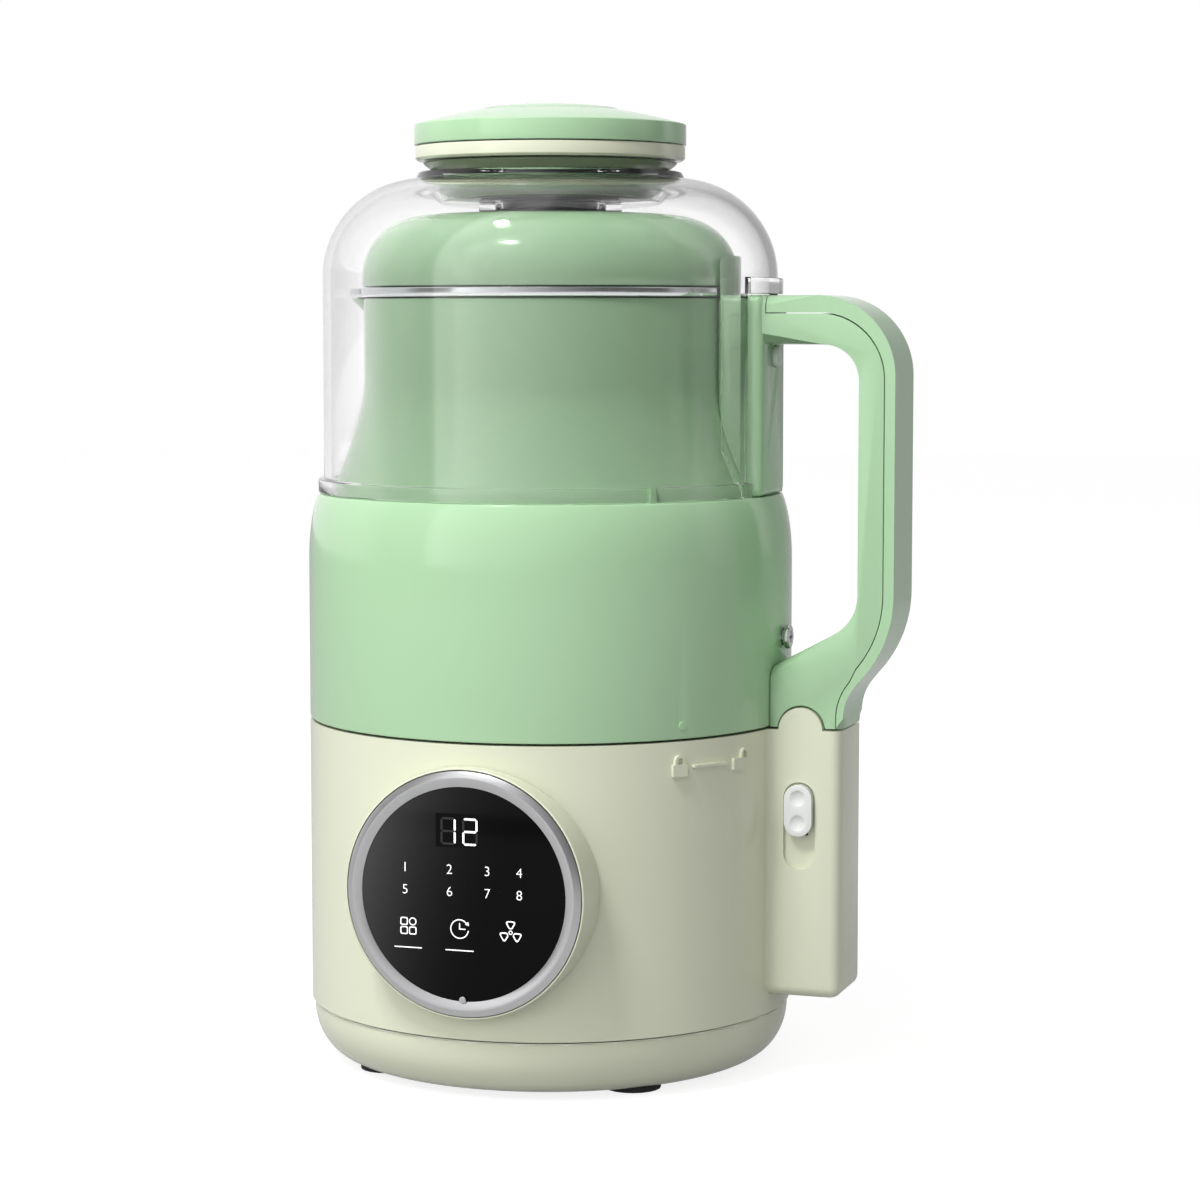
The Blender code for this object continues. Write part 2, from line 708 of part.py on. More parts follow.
def make_bottom_pan(material):
    edge = BODY_RADIUS - PAN_INSET
    center = (edge - PAN_CORNER_WIDTH, PAN_Z + PAN_CORNER_HEIGHT)
    inner_radii = (PAN_CORNER_WIDTH - PAN_WALL, PAN_CORNER_HEIGHT - PAN_WALL)
    profile = [(0, PAN_Z + PAN_WALL)]
    profile += arc(center, inner_radii, -90, 0)
    profile += [(edge - PAN_WALL, PAN_TOP_Z), (edge, PAN_TOP_Z)]
    profile += arc(center, (PAN_CORNER_WIDTH, PAN_CORNER_HEIGHT), 0, -90, FINE_ARC_STEPS)
    profile += [(0, PAN_Z)]
    pan = turned(profile, ring=False)
    board_back = POWER_BOARD_Y + BOARD_THICKNESS
    middle_y = POWER_BOARD_Y + BOARD_THICKNESS / 2
    for side in (-1, 1):
        post_x = side * (POWER_BOARD_HALF_WIDTH - BOARD_POST_WIDTH)
        join(pan, span((post_x - BOARD_POST_WIDTH / 2, POWER_BOARD_Y - BOARD_POST_DEPTH / 2,
                        PAN_Z + PAN_WALL / 2),
                       (post_x + BOARD_POST_WIDTH / 2, board_back + BOARD_POST_DEPTH / 2,
                        PAN_Z + PAN_WALL + BOARD_POST_HEIGHT)))
    cut(pan, span((-POWER_BOARD_HALF_WIDTH - GAP, middle_y - BOARD_THICKNESS / 2 - GAP,
                   POWER_BOARD_FOOT_Z - GAP),
                  (POWER_BOARD_HALF_WIDTH + GAP, middle_y + BOARD_THICKNESS / 2 + GAP,
                   POWER_BOARD_FOOT_Z + POWER_BOARD_HEIGHT)))
    for angle in around(VENT_COUNT, 30):
        vent = span((VENT_CIRCLE - VENT_LENGTH / 2, -VENT_WIDTH / 2, PAN_Z - OVERRUN),
                    (VENT_CIRCLE + VENT_LENGTH / 2, VENT_WIDTH / 2, PAN_Z + PAN_WALL + OVERRUN))
        cut(pan, turn_about_axis(vent, angle))
    finish_part(pan, "bottom_pan", material)


def make_feet(material):
    edge = BODY_RADIUS - PAN_INSET
    center = (edge - PAN_CORNER_WIDTH, PAN_Z + PAN_CORNER_HEIGHT)
    radii = (PAN_CORNER_WIDTH + GAP, PAN_CORNER_HEIGHT + GAP)
    envelope = [(0, PAN_TOP_Z)] + arc(center, radii, 0, -90, FINE_ARC_STEPS) + [(0, PAN_Z - GAP)]
    above_pan = guide(turned(envelope, ring=False), "pan_envelope")
    for index, degrees in enumerate(FOOT_ANGLES):
        place = polar(FOOT_CIRCLE, math.radians(degrees), 0.0)
        foot = rod(FOOT_RADIUS, place, place + Vector((0, 0, FOOT_HEIGHT)), MEDIUM_SIDES)
        boolean(foot, above_pan, "DIFFERENCE")
        finish_part(foot, f"foot_{index + 1}", material)


def make_base_deck(material):
    outer = BODY_RADIUS - BASE_WALL - GAP
    top = BASE_TOP_Z - DECK_DROP
    under = top - DECK_THICKNESS
    well_outer = WELL_RADIUS + DECK_THICKNESS
    collar_top = WELL_FLOOR_Z + HUB_COLLAR_HEIGHT
    profile = [(outer, top), (outer, under), (well_outer, under), (well_outer, DECK_UNDERSIDE_Z),
               (HUB_RADIUS, DECK_UNDERSIDE_Z), (HUB_RADIUS, collar_top),
               (HUB_RADIUS + HUB_COLLAR, collar_top), (HUB_RADIUS + HUB_COLLAR, WELL_FLOOR_Z),
               (WELL_RADIUS, WELL_FLOOR_Z), (WELL_RADIUS, top)]
    deck = turned(profile)
    post_foot = UPPER_PLATE_Z + BRACKET_THICKNESS + GAP
    for angle in around(POST_COUNT, 45):
        join(deck, rod(POST_RADIUS, polar(POST_CIRCLE, angle, post_foot),
                       polar(POST_CIRCLE, angle, DECK_UNDERSIDE_Z + DECK_THICKNESS / 2), SMALL_SIDES))
    finish_part(deck, "base_deck", material)


def make_lock_ring(material):
    outer = WELL_RADIUS - LOCK_RING_CLEARANCE
    foot = WELL_FLOOR_Z + GAP
    top = foot + LOCK_RING_HEIGHT
    inner = outer - LOCK_RING_WIDTH
    ring = turned([(outer, top), (outer, foot), (inner, foot), (inner, top)])
    half = LUG_WIDTH / 2 + LUG_CLEARANCE
    reach = SPIGOT_RADIUS + LUG_REACH + LUG_CLEARANCE
    for angle in around(LUG_COUNT):
        notch = span((inner - OVERRUN, -half, foot - OVERRUN), (reach, half, top + OVERRUN))
        cut(ring, turn_about_axis(notch, angle))
    finish_part(ring, "lock_ring", material)


def make_panel(housing_material, ring_material, glass_material, display_material, board_material):
    seat_radius = RING_RADIUS + GAP
    seat = PANEL_FACE - RING_SEAT
    profile = [(seat_radius, PANEL_FACE)]
    profile += arc((HOUSING_RADIUS - HOUSING_EDGE_RADIUS, PANEL_FACE - HOUSING_EDGE_RADIUS),
                   (HOUSING_EDGE_RADIUS, HOUSING_EDGE_RADIUS), 90, 0, ARC_STEPS)
    profile += [(HOUSING_RADIUS, HOUSING_BACK), (HOUSING_BORE, HOUSING_BACK),
                (HOUSING_BORE, seat), (seat_radius, seat)]
    housing = from_panel(turned(profile))
    cut(housing, rod(BODY_RADIUS + GAP, (0, 0, PAN_Z), (0, 0, NECK_TOP_Z), LARGE_SIDES))
    finish_part(housing, "panel_housing", housing_material)

    ring_top = PANEL_FACE + RING_PROUD
    ring_foot = seat + GAP
    ring = turned([(RING_RADIUS, ring_top), (RING_RADIUS, ring_foot),
                   (RING_INNER_RADIUS, ring_foot), (RING_INNER_RADIUS, ring_top)])
    finish_part(from_panel(ring), "trim_ring", ring_material)

    glass_top = ring_top - GLASS_RECESS
    glass_radius = RING_INNER_RADIUS - GAP
    glass = turned([(0, glass_top), (glass_radius, glass_top), (glass_radius, ring_foot),
                    (0, ring_foot)], ring=False)
    finish_part(from_panel(glass), "touch_glass", glass_material)

    board_front = seat - BOARD_SETBACK
    board_radius = HOUSING_BORE - BOARD_CLEARANCE
    board = turned([(0, board_front), (board_radius, board_front),
                    (board_radius, board_front - BOARD_THICKNESS),
                    (0, board_front - BOARD_THICKNESS)], ring=False)
    finish_part(from_panel(board), "control_board", board_material)

    display_z = PANEL_Z + DISPLAY_RISE
    display = span((PANEL_X - DISPLAY_WIDTH / 2, -ring_foot + GAP, display_z - DISPLAY_HEIGHT / 2),
                   (PANEL_X + DISPLAY_WIDTH / 2, -board_front - GAP, display_z + DISPLAY_HEIGHT / 2))
    finish_part(display, "display_module", display_material)


def make_slide_button(button_material, switch_material):
    front = -COLUMN_HALF_WIDTH
    wall_back = front + BASE_WALL
    half_stem = BUTTON_STEM_WIDTH / 2
    half_clip = half_stem + BUTTON_CLEARANCE + BUTTON_CLIP
    stem_z = BUTTON_Z + BUTTON_STEM_RISE
    low_z = stem_z - BUTTON_STEM_LENGTH / 2
    high_z = stem_z + BUTTON_STEM_LENGTH / 2
    stem_back = front + BUTTON_STEM_DEPTH
    button = capsule(BUTTON_WIDTH, BUTTON_Z + BUTTON_LENGTH / 2, BUTTON_Z - BUTTON_LENGTH / 2,
                     BUTTON_X, front - BUTTON_PROUD, front + BUTTON_SEAT_DEPTH - GAP, BUTTON_PROUD / 3)
    join(button, span((BUTTON_X - half_stem, front, low_z), (BUTTON_X + half_stem, stem_back, high_z)))
    join(button, span((BUTTON_X - half_clip, wall_back + GAP, low_z),
                      (BUTTON_X + half_clip, stem_back, high_z)))
    finish_part(button, "slide_button", button_material)

    switch_z = BUTTON_Z - BUTTON_TRAVEL / 2
    switch = span((BUTTON_X - SWITCH_WIDTH / 2, stem_back + GAP, switch_z - SWITCH_HEIGHT / 2),
                  (BUTTON_X + SWITCH_WIDTH / 2, -wall_back - GAP, switch_z + SWITCH_HEIGHT / 2))
    finish_part(switch, "slide_switch", switch_material)


def make_contacts(block_material, plate_material):
    top = BASE_TOP_Z - BASE_WALL - GAP
    half_length = CONTACT_BLOCK_LENGTH / 2
    half_width = CONTACT_BLOCK_WIDTH / 2
    block = span((CONTACT_X - half_length, -half_width, top - CONTACT_BLOCK_HEIGHT),
                 (CONTACT_X + half_length, half_width, top))
    for place in contact_places():
        join(block, rod(CONTACT_RADIUS, (place, 0, top - CONTACT_BLOCK_HEIGHT / 2),
                        (place, 0, BASE_TOP_Z + SEAM / 2), SMALL_SIDES))
    finish_part(block, "contact_block", block_material)

    half_plate = CONTACT_BLOCK_WIDTH / 3
    plate = span((CONTACT_X - half_length, -half_plate, JUG_FOOT_Z),
                 (CONTACT_X + half_length, half_plate, JUG_FOOT_Z + CONTACT_PLATE_THICKNESS))
    finish_part(plate, "contact_plate", plate_material)


def make_power(inlet_material, board_material):
    outer_y = BODY_RADIUS + INLET_PROUD
    inner_y = outer_y - INLET_LENGTH
    flange_width = INLET_HALF_WIDTH + INLET_FLANGE
    flange_height = INLET_HALF_HEIGHT + INLET_FLANGE
    inlet = span((-flange_width, BODY_RADIUS - INLET_PROUD * 2, INLET_Z - flange_height),
                 (flange_width, outer_y, INLET_Z + flange_height))
    cut(inlet, rod(BODY_RADIUS + GAP, (0, 0, PAN_Z), (0, 0, BASE_TOP_Z), LARGE_SIDES))
    join(inlet, span((-INLET_HALF_WIDTH, inner_y, INLET_Z - INLET_HALF_HEIGHT),
                     (INLET_HALF_WIDTH, outer_y - GAP, INLET_Z + INLET_HALF_HEIGHT)))
    cut(inlet, span((-INLET_HALF_WIDTH + INLET_WALL, outer_y - INLET_RECESS_DEPTH,
                     INLET_Z - INLET_HALF_HEIGHT + INLET_WALL),
                    (INLET_HALF_WIDTH - INLET_WALL, outer_y + OVERRUN,
                     INLET_Z + INLET_HALF_HEIGHT - INLET_WALL)))
    pin_foot = outer_y - INLET_RECESS_DEPTH - INLET_WALL / 2
    pin_tip = outer_y - INLET_RECESS_DEPTH + INLET_PIN_LENGTH
    for side in (-1, 0, 1):
        rise = INLET_PIN_RISE if side == 0 else -INLET_PIN_RISE
        pin_x = side * INLET_PIN_PITCH
        pin_z = INLET_Z + rise
        join(inlet, span((pin_x - INLET_PIN_WIDTH / 2, pin_foot, pin_z - INLET_PIN_HEIGHT / 2),
                         (pin_x + INLET_PIN_WIDTH / 2, pin_tip, pin_z + INLET_PIN_HEIGHT / 2)))
    finish_part(inlet, "power_inlet", inlet_material)

    board_top = POWER_BOARD_FOOT_Z + POWER_BOARD_HEIGHT
    back = POWER_BOARD_Y + BOARD_THICKNESS
    board = span((-POWER_BOARD_HALF_WIDTH, POWER_BOARD_Y, POWER_BOARD_FOOT_Z),
                 (POWER_BOARD_HALF_WIDTH, back, board_top))
    width, depth, height = RELAY_SIZE
    join(board, span((RELAY_X - width / 2, POWER_BOARD_Y + BOARD_THICKNESS / 2, RELAY_Z - height / 2),
                     (RELAY_X + width / 2, back + depth, RELAY_Z + height / 2)))
    join(board, rod(CAPACITOR_RADIUS, (CAPACITOR_X, POWER_BOARD_Y + BOARD_THICKNESS / 2, RELAY_Z),
                    (CAPACITOR_X, back + CAPACITOR_LENGTH, RELAY_Z), SMALL_SIDES))
    finish_part(board, "power_board", board_material)


def make_field(core_material, coil_material):
    middle = CORE_Z + CORE_HEIGHT / 2
    core = box((2 * CORE_HALF_LENGTH, 2 * CORE_HALF_WIDTH, CORE_HEIGHT), (0, 0, middle))
    keep(core, rod(CORE_CORNER_RADIUS, (0, 0, CORE_Z - OVERRUN), (0, 0, CORE_Z + CORE_HEIGHT + OVERRUN)))
    bore = ARMATURE_RADIUS + AIR_GAP
    cut(core, rod(bore, (0, 0, CORE_Z - OVERRUN), (0, 0, CORE_Z + CORE_HEIGHT + OVERRUN)))
    pole_reach = bore + POLE_DEPTH
    window_low = POLE_HALF_WIDTH
    window_high = POLE_HALF_WIDTH + COIL_WIDTH + 2 * GAP
    for side in (-1, 1):
        near, far = sorted((side * window_low, side * window_high))
        cut(core, span((-pole_reach, near, CORE_Z - OVERRUN),
                       (pole_reach, far, CORE_Z + CORE_HEIGHT + OVERRUN)))
    finish_part(core, "field_core", core_material)

    reach = CORE_HEIGHT / 2 + GAP
    start = pole_reach - GAP - COIL_THICKNESS
    for side, name in ((-1, "left"), (1, "right")):
        center = (side * (start + COIL_THICKNESS / 2), 0, middle)
        outer_width = 2 * (POLE_HALF_WIDTH + GAP + COIL_WIDTH)
        coil = box((COIL_THICKNESS, outer_width, 2 * (reach + COIL_WIDTH)), center, COIL_THICKNESS / 4)
        cut(coil, box((COIL_THICKNESS + 2 * OVERRUN, 2 * (POLE_HALF_WIDTH + GAP), 2 * reach), center))
        finish_part(coil, f"field_coil_{name}", coil_material)


def bracket_tubes(bracket, low_z, high_z):
    for side in (-1, 1):
        place = side * BRACKET_TUBE_CIRCLE
        join(bracket, rod(BRACKET_TUBE_RADIUS, (0, place, low_z), (0, place, high_z), SMALL_SIDES))


def make_brackets(material, bearing_material):
    cup_inner = BEARING_RADIUS + GAP
    cup_outer = cup_inner + BEARING_CUP_WALL
    half_plate = BRACKET_THICKNESS / 2

    upper_top = UPPER_PLATE_Z + BRACKET_THICKNESS
    roof = upper_top + BEARING_HEIGHT + BEARING_CUP_FLOOR
    roof_under = roof - BEARING_CUP_FLOOR
    upper = turned([(cup_outer, roof), (cup_outer, upper_top), (BRACKET_RADIUS, upper_top),
                    (BRACKET_RADIUS, UPPER_PLATE_Z), (cup_inner, UPPER_PLATE_Z),
                    (cup_inner, roof_under), (BEARING_CUP_HOLE, roof_under), (BEARING_CUP_HOLE, roof)],
                   MEDIUM_SIDES)
    bracket_tubes(upper, CORE_Z + CORE_HEIGHT + GAP, UPPER_PLATE_Z + half_plate)
    finish_part(upper, "upper_bracket", material)

    lower_plate_z = LOWER_CUP_Z + BEARING_CUP_FLOOR + BEARING_HEIGHT
    lower_top = lower_plate_z + BRACKET_THICKNESS
    floor_top = LOWER_CUP_Z + BEARING_CUP_FLOOR
    lower = turned([(BRACKET_RADIUS, lower_top), (BRACKET_RADIUS, lower_plate_z),
                    (cup_outer, lower_plate_z), (cup_outer, LOWER_CUP_Z),
                    (BEARING_CUP_HOLE, LOWER_CUP_Z), (BEARING_CUP_HOLE, floor_top),
                    (cup_inner, floor_top), (cup_inner, lower_top)], MEDIUM_SIDES)
    bracket_tubes(lower, lower_top - half_plate, CORE_Z - GAP)
    finish_part(lower, "lower_bracket", material)

    bore = SHAFT_RADIUS + GAP
    for name, foot in (("upper_bearing", roof_under - GAP - BEARING_HEIGHT),
                       ("lower_bearing", floor_top + GAP)):
        ring = turned([(BEARING_RADIUS, foot + BEARING_HEIGHT), (BEARING_RADIUS, foot),
                       (bore, foot), (bore, foot + BEARING_HEIGHT)], MEDIUM_SIDES)
        finish_part(ring, name, bearing_material)
    return lower_top


def make_brushes(lower_top, holder_material, brush_material):
    middle = COMMUTATOR_Z + COMMUTATOR_HEIGHT / 2
    half_holder = BRUSH_WIDTH / 2 + GAP + BRUSH_HOLDER_WALL
    holder_top = middle + BRUSH_HEIGHT / 2 + GAP + BRUSH_HOLDER_WALL
    brush_start = COMMUTATOR_RADIUS + GAP
    holder_start = brush_start + BRUSH_HOLDER_WALL
    holder_end = brush_start + BRUSH_LENGTH + 2 * BRUSH_HOLDER_WALL
    for side, name in ((-1, "left"), (1, "right")):
        near, far = sorted((side * holder_start, side * holder_end))
        holder = span((near, -half_holder, lower_top + GAP), (far, half_holder, holder_top))
        near, far = sorted((side * (holder_start - OVERRUN), side * (holder_end + OVERRUN)))
        cut(holder, span((near, -BRUSH_WIDTH / 2 - GAP, middle - BRUSH_HEIGHT / 2 - GAP),
                         (far, BRUSH_WIDTH / 2 + GAP, middle + BRUSH_HEIGHT / 2 + GAP)))
        finish_part(holder, f"brush_holder_{name}", holder_material)
        near, far = sorted((side * brush_start, side * (brush_start + BRUSH_LENGTH)))
        brush = span((near, -BRUSH_WIDTH / 2, middle - BRUSH_HEIGHT / 2),
                     (far, BRUSH_WIDTH / 2, middle + BRUSH_HEIGHT / 2))
        finish_part(brush, f"carbon_brush_{name}", brush_material)


def coupling_heights():
    """Heights of the two couplings, from the jug base down."""
    cap_under = BASE_TOP_Z - DECK_DROP + GAP + JUG_BASE_THICKNESS - HUB_CAP
    driven_top = cap_under - COUPLING_CLEARANCE
    driven_foot = driven_top - COUPLING_DISC
    driven_tip = driven_foot - COUPLING_DOG_HEIGHT
    drive_tip = driven_tip + COUPLING_MESH
    drive_top = drive_tip - COUPLING_DOG_HEIGHT
    return driven_top, driven_foot, driven_tip, drive_tip, drive_top


def add_dogs(coupling, start, low_z, high_z, first_angle):
    for angle in around(COUPLING_DOG_COUNT, first_angle):
        dog = span((start, -COUPLING_DOG_WIDTH / 2, low_z),
                   (COUPLING_RADIUS - GAP, COUPLING_DOG_WIDTH / 2, high_z))
        join(coupling, turn_about_axis(dog, angle))


def make_rotor(materials):
    bore = SHAFT_RADIUS + GAP
    _, _, _, drive_tip, drive_top = coupling_heights()
    drive_foot = drive_top - COUPLING_DISC
    shaft_top = drive_tip - COUPLING_CLEARANCE
    shaft = rod(SHAFT_RADIUS, (0, 0, FAN_Z + GAP), (0, 0, shaft_top), SMALL_SIDES)
    finish_part(shaft, "motor_shaft", materials["steel"])

    coupling = turned([(COUPLING_CORE_RADIUS, drive_tip), (COUPLING_CORE_RADIUS, drive_top),
                       (COUPLING_RADIUS, drive_top), (COUPLING_RADIUS, drive_foot),
                       (bore, drive_foot), (bore, drive_tip)], MEDIUM_SIDES)
    add_dogs(coupling, (bore + COUPLING_CORE_RADIUS) / 2, drive_top - COUPLING_DISC / 2, drive_tip, 0)
    finish_part(coupling, "drive_coupling", materials["black"])

    core = turned([(ARMATURE_RADIUS, CORE_Z + CORE_HEIGHT), (ARMATURE_RADIUS, CORE_Z),
                   (bore, CORE_Z), (bore, CORE_Z + CORE_HEIGHT)], MEDIUM_SIDES)
    for angle in around(ROTOR_SLOT_COUNT):
        slot = span((ARMATURE_RADIUS - ROTOR_SLOT_DEPTH, -ROTOR_SLOT_WIDTH / 2, CORE_Z - OVERRUN),
                    (ARMATURE_RADIUS + OVERRUN, ROTOR_SLOT_WIDTH / 2, CORE_Z + CORE_HEIGHT + OVERRUN))
        cut(core, turn_about_axis(slot, angle))
    finish_part(core, "armature_core", materials["core"])

    for name, foot in (("upper_winding", CORE_Z + CORE_HEIGHT + GAP),
                       ("lower_winding", CORE_Z - GAP - WINDING_HEIGHT)):
        middle = (WINDING_RADIUS - WINDING_HEIGHT / 2, foot + WINDING_HEIGHT / 2)
        radii = (WINDING_HEIGHT / 2, WINDING_HEIGHT / 2)
        profile = arc(middle, radii, 90, -90) + [(bore, foot), (bore, foot + WINDING_HEIGHT)]
        finish_part(turned(profile, MEDIUM_SIDES), name, materials["copper"])

    commutator = turned([(COMMUTATOR_RADIUS, COMMUTATOR_Z + COMMUTATOR_HEIGHT),
                         (COMMUTATOR_RADIUS, COMMUTATOR_Z), (bore, COMMUTATOR_Z),
                         (bore, COMMUTATOR_Z + COMMUTATOR_HEIGHT)], MEDIUM_SIDES)
    finish_part(commutator, "commutator", materials["copper"])

    disc_z = FAN_Z + FAN_BLADE_HEIGHT
    hub_top = disc_z + 2 * FAN_DISC_THICKNESS
    disc_top = disc_z + FAN_DISC_THICKNESS
    fan = turned([(FAN_HUB_RADIUS, hub_top), (FAN_HUB_RADIUS, disc_top), (FAN_RADIUS, disc_top),
                  (FAN_RADIUS, disc_z), (FAN_HUB_RADIUS, disc_z), (FAN_HUB_RADIUS, FAN_Z),
                  (bore, FAN_Z), (bore, hub_top)], MEDIUM_SIDES)
    for angle in around(FAN_BLADE_COUNT):
        blade = span((FAN_HUB_RADIUS + OVERRUN, -FAN_BLADE_THICKNESS / 2, FAN_Z),
                     (FAN_RADIUS - GAP, FAN_BLADE_THICKNESS / 2, disc_z + FAN_DISC_THICKNESS / 2))
        join(fan, turn_about_axis(blade, angle))
    finish_part(fan, "cooling_fan", materials["black"])


def neck_profile(inset, top_z):
    """The jug's neck and the flare under it, from the top down, moved inwards."""
    points = [(NECK_RADIUS - inset, top_z)]
    for index in range(FLARE_STEPS + 1):
        share = index / FLARE_STEPS
        radius = NECK_RADIUS + (FLARE_RADIUS - NECK_RADIUS) * share ** FLARE_POWER
        height = FLARE_TOP_Z + (FLARE_FOOT_Z - FLARE_TOP_Z) * share
        points.append((radius - inset, height))
    return points


def shoulder_arc(offset=0.0):
    """The rounded shoulder under the ledge, from the ledge down."""
    center = (BODY_RADIUS - SHOULDER_WIDTH, SHOULDER_FOOT_Z)
    start = math.degrees(math.asin((LEDGE_Z - SHOULDER_FOOT_Z) / SHOULDER_HEIGHT))
    radii = (SHOULDER_WIDTH + offset, SHOULDER_HEIGHT + offset)
    return arc(center, radii, start, 0)


def spout(radius, foot_radius, foot_z, top_z):
    """A cone at -X whose flank is the underside of the spout."""
    return cone(foot_radius, radius, (SPOUT_RADIUS - SPOUT_REACH, 0, foot_z), top_z - foot_z)


def outside_bore(item, radius):
    """Trim a spout to what lies outside the middle of the neck's wall."""
    return cut(item, rod(radius, (0, 0, FLARE_TOP_Z), (0, 0, RIM_TOP_Z + OVERRUN), LARGE_SIDES))


def make_jug_jacket(material):
    profile = neck_profile(0, NECK_TOP_Z) + [(FLARE_RADIUS, LEDGE_Z)] + shoulder_arc()
    profile += [(BODY_RADIUS, JUG_FOOT_Z), (BODY_RADIUS - JACKET_WALL, JUG_FOOT_Z)]
    profile += arc((BODY_RADIUS - SHOULDER_WIDTH, SHOULDER_FOOT_Z),
                   (SHOULDER_WIDTH - JACKET_WALL, SHOULDER_INNER_HEIGHT), 0, SHOULDER_INNER_END)
    profile += reversed(neck_profile(JACKET_WALL, NECK_TOP_Z))
    jacket = turned(profile)
    foot_z = NECK_TOP_Z - SPOUT_HEIGHT
    outside = spout(SPOUT_RADIUS, SPOUT_FOOT_RADIUS, foot_z, NECK_TOP_Z)
    join(jacket, outside_bore(outside, NECK_RADIUS - JACKET_WALL / 2))
    cut(jacket, spout(SPOUT_RADIUS - SPOUT_WALL + OVERRUN, SPOUT_FOOT_RADIUS - SPOUT_WALL,
                      foot_z, NECK_TOP_Z + OVERRUN))
    dot = polar(BODY_RADIUS + DOT_PROUD, math.radians(DOT_ANGLE), JUG_FOOT_Z + DOT_RISE)
    dot_root = polar(BODY_RADIUS - JACKET_WALL / 2, math.radians(DOT_ANGLE), JUG_FOOT_Z + DOT_RISE)
    join(jacket, rod(DOT_RADIUS, dot_root, dot, SMALL_SIDES))
    key = span((FLARE_RADIUS - JACKET_WALL / 2, -KEY_WIDTH / 2, LEDGE_Z - OVERRUN),
               (FLARE_RADIUS + KEY_PROUD, KEY_WIDTH / 2, LEDGE_Z + KEY_HEIGHT))
    join(jacket, turn_about_axis(key, math.radians(KEY_ANGLE)))
    cut(jacket, rod(HANDLE_SCREW_RADIUS + GAP, (BODY_RADIUS / 2, 0, HANDLE_SCREW_Z),
                    (BODY_RADIUS + OVERRUN, 0, HANDLE_SCREW_Z), SMALL_SIDES))
    finish_part(jacket, "jug_jacket", material)


def make_steel_cup(material):
    inset = JACKET_WALL + CUP_CLEARANCE
    flange_z = NECK_TOP_Z + GAP
    middle = NECK_RADIUS - inset - CUP_WALL / 2
    corner = (CUP_RADIUS - CUP_CORNER_RADIUS, CUP_UNDERSIDE_Z + CUP_CORNER_RADIUS)
    inner_corner = CUP_CORNER_RADIUS - CUP_WALL
    hole = BEARING_BODY_RADIUS + GAP
    profile = [(RIM_RADIUS, RIM_TOP_Z), (RIM_RADIUS, flange_z)]
    profile += neck_profile(inset, flange_z) + [(CUP_RADIUS, CUP_SHOULDER_Z)]
    profile += arc(corner, (CUP_CORNER_RADIUS, CUP_CORNER_RADIUS), 0, -90)
    profile += [(hole, CUP_UNDERSIDE_Z), (hole, CUP_FLOOR_Z)]
    profile += arc(corner, (inner_corner, inner_corner), -90, 0)
    profile += [(CUP_RADIUS - CUP_WALL, CUP_SHOULDER_Z)]
    profile += reversed(neck_profile(inset + CUP_WALL, RIM_TOP_Z))
    cup = turned(profile)
    foot_z = NECK_TOP_Z - SPOUT_HEIGHT
    gap = SPOUT_WALL + GAP
    center = (SPOUT_RADIUS - SPOUT_REACH, 0)
    outside = spout(SPOUT_RADIUS - gap, SPOUT_FOOT_RADIUS - gap, foot_z + GAP, flange_z + GAP)
    join(cup, outside_bore(outside, middle))
    lip = rod(SPOUT_RADIUS + RIM_RADIUS - NECK_RADIUS, (*center, flange_z), (*center, RIM_TOP_Z))
    join(cup, outside_bore(lip, middle))
    cut(cup, spout(SPOUT_RADIUS - gap + OVERRUN, SPOUT_FOOT_RADIUS - gap - CUP_WALL,
                   foot_z + GAP, RIM_TOP_Z + OVERRUN))
    finish_part(cup, "steel_cup", material)


def make_jug_base(material):
    outer = BODY_RADIUS - JACKET_WALL - JUG_BASE_CLEARANCE
    foot = BASE_TOP_Z - DECK_DROP + GAP
    top = foot + JUG_BASE_THICKNESS
    spigot_inner = SPIGOT_RADIUS - SPIGOT_WALL
    spigot_foot = foot - SPIGOT_DEPTH
    skirt = HUB_RADIUS + HUB_SKIRT_WALL
    skirt_foot = foot - HUB_SKIRT_DROP
    hole = BLADE_SHAFT_RADIUS + SHAFT_HOLE_CLEARANCE
    profile = [(outer, top), (outer, foot), (SPIGOT_RADIUS, foot), (SPIGOT_RADIUS, spigot_foot),
               (spigot_inner, spigot_foot), (spigot_inner, foot), (skirt, foot), (skirt, skirt_foot),
               (HUB_RADIUS, skirt_foot), (HUB_RADIUS, top - HUB_CAP), (hole, top - HUB_CAP), (hole, top)]
    base = turned(profile)
    for angle in around(LUG_COUNT):
        lug = span((spigot_inner + SPIGOT_WALL / 2, -LUG_WIDTH / 2, spigot_foot),
                   (SPIGOT_RADIUS + LUG_REACH, LUG_WIDTH / 2, spigot_foot + LUG_HEIGHT))
        join(base, turn_about_axis(lug, angle))
    finish_part(base, "jug_base", material)


def make_heater(plate_material, sensor_material):
    top = CUP_UNDERSIDE_Z - GAP
    foot = top - HEATER_THICKNESS
    tube = arc((HEATER_TUBE_CIRCLE, foot), (HEATER_TUBE_RADIUS, HEATER_TUBE_RADIUS), 0, -180)
    profile = [(HEATER_RADIUS, top), (HEATER_RADIUS, foot)] + tube
    profile += [(HEATER_INNER_RADIUS, foot), (HEATER_INNER_RADIUS, top)]
    plate = turned(profile)
    place = polar(SENSOR_CIRCLE, math.radians(SENSOR_ANGLE), top)
    cut(plate, rod(SENSOR_RADIUS + GAP, place - Vector((0, 0, HEATER_THICKNESS + OVERRUN)),
                   place + Vector((0, 0, OVERRUN)), SMALL_SIDES))
    finish_part(plate, "heating_plate", plate_material)
    sensor = rod(SENSOR_RADIUS, place - Vector((0, 0, SENSOR_HEIGHT)), place, SMALL_SIDES)
    finish_part(sensor, "temperature_sensor", sensor_material)


